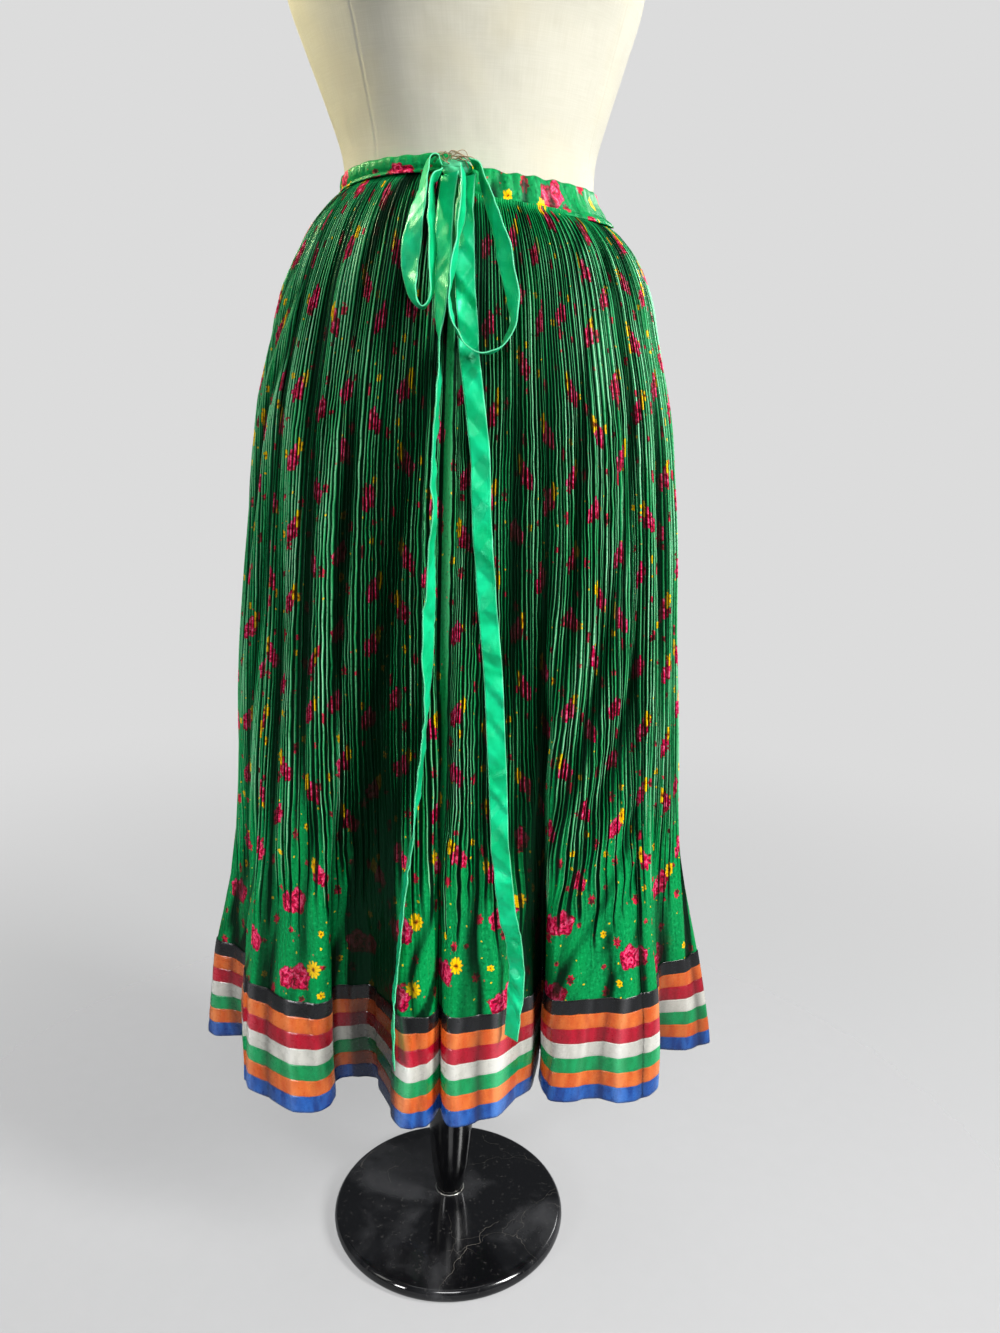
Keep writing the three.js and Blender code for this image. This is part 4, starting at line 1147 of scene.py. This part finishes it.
def casing_piece():
    """The casing: a tube of cloth gathered on the drawstring, its lower edge stitched down."""
    slit = PANELS[0][2]
    half_gap = math.degrees(CASING["gap"] / 2 / CASING["round"])
    angles = np.linspace(slit + half_gap, slit + 360 - half_gap, CASING["columns"])
    run = np.radians(angles - slit) * CASING["round"]
    offs, heights = (np.array(v)[:, None] for v in zip(*CASING_SECTION))
    strong = GATHERED
    for more, place, width in GATHERED_MORE:
        strong = strong + more * near(angles - slit - place, width)
    gather = waves(21, 9, (11, 60))(run[None], heights) * 0.5
    gather = gather + waves(22, 7, (27, 60))(run[None], heights)
    folds = np.sign(gather) * np.abs(gather) ** 0.8 * strong
    outer = np.clip((offs - 0.8) / 2.5, 0, 1)
    pinch = 1 - 0.7 * near(heights - 1042, 1.5)
    off = offs + CASING["gather"] * folds * outer * pinch
    off = off + CASING["flare"] * near(angles - 68, 34) * fade(heights, "flare")
    waist = section_at(WAIST_SHIFTS, from_side(angles) + FOLDS[0][0])
    lifted = (heights - CASING_FOOT) * waist[:, 1] + CASING_FOOT + waist[:, 0]
    lifted = lifted + CASING["drift"] * waves(23, 7, (24, 300))(run[None], heights) * strong \
        * np.clip((heights - 1050) / 6, 0, 1)
    xy = on_oval(section_at(FORM_SECTIONS, lifted), angles[None], np.maximum(off, 0.45))
    ring = raised(xy, lifted).transpose(1, 0, 2)[:, ::-1]
    size = ring.shape[:2]
    around = run_along(floats(CASING_SECTION))[::-1]
    uv = pairs(run[:, None] * 1.04 + 30, around + 1030) * MM
    piece = mesh_object("cloth_waist_casing", ring * MM, tube_faces(*size), uv, grid_uv(*size))
    folds = folds.T[:, ::-1]
    # The casing's painted shade in the hollows of its gathers and painted highlight on their tops.
    mark_points(piece, valley=np.clip(-0.35 * folds, 0, 0.7), ridge=np.clip(0.25 * folds, 0, 0.4))
    stand_for(piece, "waist_casing", "printed_cloth", printed_cloth)


# ---- The knot, and the threads that fray from it ----
KNOT = {"place": (-8, -94.4, 1048.2), "size": (12, 7, 7.2), "wraps": 5, "groove": 0.1, "uneven": 0.06,
        "rows": 41, "columns": 80}
FRAYS = {"count": 16, "radius": 0.32, "steps": 18, "around": 6, "low": 1042, "high": 1060}


def frayed_thread(chance):
    """A loose thread that loops over the top of the knot, in millimetres."""
    f = np.linspace(0, 1, FRAYS["steps"])[:, None]
    begin = chance.uniform((-30, -100, 1051), (-10, -96, 1055))
    end = begin + chance.uniform((6, -4, -5), (22, 2, 3))
    over = chance.uniform((-3, -5, 1.5), (3, -1, 5.5)) * np.sin(math.pi * f)
    curl = 0.8 * np.sin(f * chance.uniform(5, 12) + chance.uniform(0, 6, 3))
    line = begin + (end - begin) * f + over + curl
    line[:, 2] = np.clip(line[:, 2], FRAYS["low"], FRAYS["high"])
    along = unit(np.gradient(line, axis=0))
    side = unit(np.cross(along, [0, 0.3, 1.0]))
    up = np.cross(side, along)
    turns = once_round(FRAYS["around"])[None, :, None]
    ring = side[:, None] * np.cos(turns) + up[:, None] * np.sin(turns)
    return (line[:, None] + FRAYS["radius"] * ring).reshape(-1, 3)


def knot_piece():
    """The knot of the bow: the ribbon wound round itself, in slanting folds."""
    lat, lon = np.meshgrid(np.linspace(0, math.pi, KNOT["rows"]), once_round(KNOT["columns"]),
                           indexing="ij")
    fold = np.sin(KNOT["wraps"] * (lat + 0.35 * np.sin(lon)) + 0.8 * lon)
    uneven = waves(31, 6, (0.9, 1.2))(lat, lon)
    reach = 1 + KNOT["groove"] * fold * np.sin(lat) + KNOT["uneven"] * uneven * np.sin(lat)
    ball = np.stack([np.cos(lat), -np.sin(lat) * np.cos(lon), np.sin(lat) * np.sin(lon)], axis=-1)
    points = ball * reach[..., None] * np.array(KNOT["size"]) + np.array(KNOT["place"])
    faces = list(grid_faces(*lat.shape, closed=True, flip=True))
    uv = np.stack([lat * 0.01, lon * 0.007], axis=-1).reshape(-1, 2)
    points, wound = points.reshape(-1, 3), len(faces)
    chance = np.random.RandomState(51)
    for _ in range(FRAYS["count"]):
        thread = frayed_thread(chance)
        faces += [np.array(face) + len(points) for face in tube_faces(FRAYS["steps"], FRAYS["around"])]
        points = np.concatenate([points, thread])
        uv = np.concatenate([uv, thread[:, [0, 2]] * MM])
    piece = mesh_object("satin_knot", points * MM, faces, uv)
    stand_for(piece, "drawstring_knot", "drawstring_satin", drawstring_satin, frayed)
    piece.data.polygons.foreach_set("material_index", np.int32(np.arange(len(faces)) >= wound))


# ---- The stand ----
def arc(centre, radii, start, end, steps):
    """Points of an outline on an arc, from one angle to another in degrees."""
    turns = np.radians(np.linspace(start, end, steps + 1))
    return [(centre[0] + radii[0] * math.cos(t), centre[1] + radii[1] * math.sin(t)) for t in turns]


def turned_piece(name, outline, look, slot, replaced, segments, closed=False, behind=0):
    """A turned piece from its outline of radius and height, in millimetres."""
    outline = floats(outline)
    turns = once_round(segments)
    radius, height = outline[:, 0, None], outline[:, 1, None]
    xy = pairs(radius * np.cos(turns), radius * np.sin(turns) + behind)
    faces = tube_faces(len(outline), segments)
    if closed:
        faces = faces[:-2]
    uv = pairs(turns * 40 * MM, run_along(outline)[:, None] * MM)
    piece = mesh_object(name, raised(xy, height) * MM, faces, uv)
    stand_for(piece, replaced, slot, look)


BASE = {"radius": 125, "thick": 15, "edge": 6}
LEG_BEHIND = 20       # the leg stands behind the middle of the base
LEG = [(14, 16), (14.3, 18), (17.6, 33), (20.6, 54), (23.3, 90), (25.5, 150), (27.5, 260),
       (30, 480), (32, 693.7)]


def stand_pieces():
    radius, thick, edge = (BASE[key] for key in ("radius", "thick", "edge"))
    rim = arc((radius - edge, thick / 2), (edge, thick / 2), -90, 90, 14)
    base = [(20, 0), (80, 0), (radius - 12, 0)] + rim + [(radius - 12, thick), (60, thick), (16, thick)]
    turned_piece("marble_base", base, black_marble, "black_marble", "base_disc", 192)
    leg = [(8, 15.3), (13.4, 15.3)] + LEG + [(33, 695.5), (38, 697), (44, 699)]
    leg += arc((44, 705), (4, 6), -80, 0, 6) + [(48, 722.6), (47, 723.7), (10, 723.7)]
    turned_piece("lacquered_leg", leg, black_lacquer, "black_lacquer", "leg", 96, behind=LEG_BEHIND)
    ring = arc((15.3, 15.9), (0.7, 0.6), 0, 360, 12)
    turned_piece("foot_collar", ring, bright_metal, "bright_metal", "foot_ring", 96, True, LEG_BEHIND)
    cap = [(10, 1500.3), (44.4, 1500.3), (45, 1501), (45, 1507)] + arc((39, 1507), (6, 5.3), 0, 90, 8)
    cap += [(20, 1512.3), (4, 1512.3)]
    turned_piece("neck_plate", cap, black_lacquer, "black_lacquer", "neck_cap", 96)


# ---- Making it ----
for panel in PANELS:
    panel_piece(panel)
for i in range(len(RIBBONS)):
    hem_ribbon_piece(i)
casing_piece()
knot_piece()
form_piece()
stand_pieces()

# ---- The floor, which fades into the studio's even background ----
BACKGROUND = 0.716
FLOOR = {"radius": 2, "below": 0.0005, "corners": 96, "fades": (0.2, 1.9, 0.52, 1)}
SKY = {"colour": (0.86, 0.93, 1.0, 1), "strength": 0.11}
# Each soft light: its place, what it aims at, its size, power in watts, colour and spread.
LIGHTS = {
    "right_window": ((2.1, -1.2, 1.9), (0, 0, 0.7), (0.6, 1.2), 110, (1.0, 1.0, 0.98), 180),
    "left_window": ((-2.3, -1.3, 1.7), (0, 0, 0.7), (0.6, 1.2), 6, (1.0, 0.99, 0.92), 180),
    "front": ((0.1, -2.5, 2.3), (0, 0, 0.7), (1.0, 0.8), 33, (1.0, 1.0, 1.0), 180),
    "top": ((0, 0.3, 3.2), (0, 0, 0), (2.0, 2.0), 14, (1.0, 1.0, 1.0), 180),
    "back_right": ((1.7, 1.6, 1.9), (0, 0, 1.3), (0.6, 0.8), 4, (1.0, 1.0, 1.0), 70),
    "left_low": ((-1.3, -1.6, 0.7), (-0.12, -0.1, 0.3), (0.3, 0.5), 1.1, (1.0, 1.0, 1.0), 40),
    "back_left": ((-2.1, 0.6, 2.4), (-0.1, 0, 1.5), (0.5, 0.5), 5.5, (1.0, 0.9, 0.55), 26),
}


def make_floor():
    look = Look("studio_floor", roughness=0.9, specular_ior_level=0.1)
    place = look.object_place()
    grain = look.noise(place, 40, 3)
    colour = look.blend(grain, (0.5, 0.5, 0.51, 1), (0.52, 0.52, 0.53, 1))
    look.finish(base_color=colour)
    reach = look.node("VectorMath", {0: place}, 1, operation="LENGTH")
    clear = look.node("BsdfTransparent", {})
    faded = look.between(reach, *FLOOR["fades"])
    shown = look.node("MixShader", {0: faded, 1: look.shader.outputs[0], 2: clear})
    look.links.new(shown, look.nodes["Material Output"].inputs["Surface"])
    turns = once_round(FLOOR["corners"])
    rim = FLOOR["radius"] * np.stack([np.cos(turns), np.sin(turns)], axis=-1)
    floor = mesh_object("studio_floor", raised(rim, -FLOOR["below"]), [range(FLOOR["corners"])])
    floor.data.materials.append(look.material)


def make_world():
    world = bpy.data.worlds.new("studio")
    world.use_nodes = True
    scene.world = world
    nodes, links = world.node_tree.nodes, world.node_tree.links
    seen = nodes["Background"]
    seen.inputs["Color"].default_value = (BACKGROUND, BACKGROUND, BACKGROUND, 1)
    lit = nodes.new("ShaderNodeBackground")
    lit.inputs["Color"].default_value = SKY["colour"]
    lit.inputs["Strength"].default_value = SKY["strength"]
    path = nodes.new("ShaderNodeLightPath")
    mix = nodes.new("ShaderNodeMixShader")
    links.new(path.outputs["Is Camera Ray"], mix.inputs[0])
    links.new(lit.outputs[0], mix.inputs[1])
    links.new(seen.outputs[0], mix.inputs[2])
    links.new(mix.outputs[0], nodes["World Output"].inputs["Surface"])


def soft_light(name, place, aim, size, power, colour, spread):
    data = bpy.data.lights.new(name, "AREA")
    data.shape = "RECTANGLE"
    data.size, data.size_y = size
    data.energy, data.color = power, colour
    data.spread = math.radians(spread)
    light = bpy.data.objects.new(name, data)
    light.location = place
    light.rotation_euler = (Vector(aim) - Vector(place)).to_track_quat("-Z", "Y").to_euler()
    scene.collection.objects.link(light)


make_floor()
make_world()
for name, light in LIGHTS.items():
    soft_light(name, *light)

scene.view_settings.view_transform = "Standard"
scene.view_settings.look = "None"
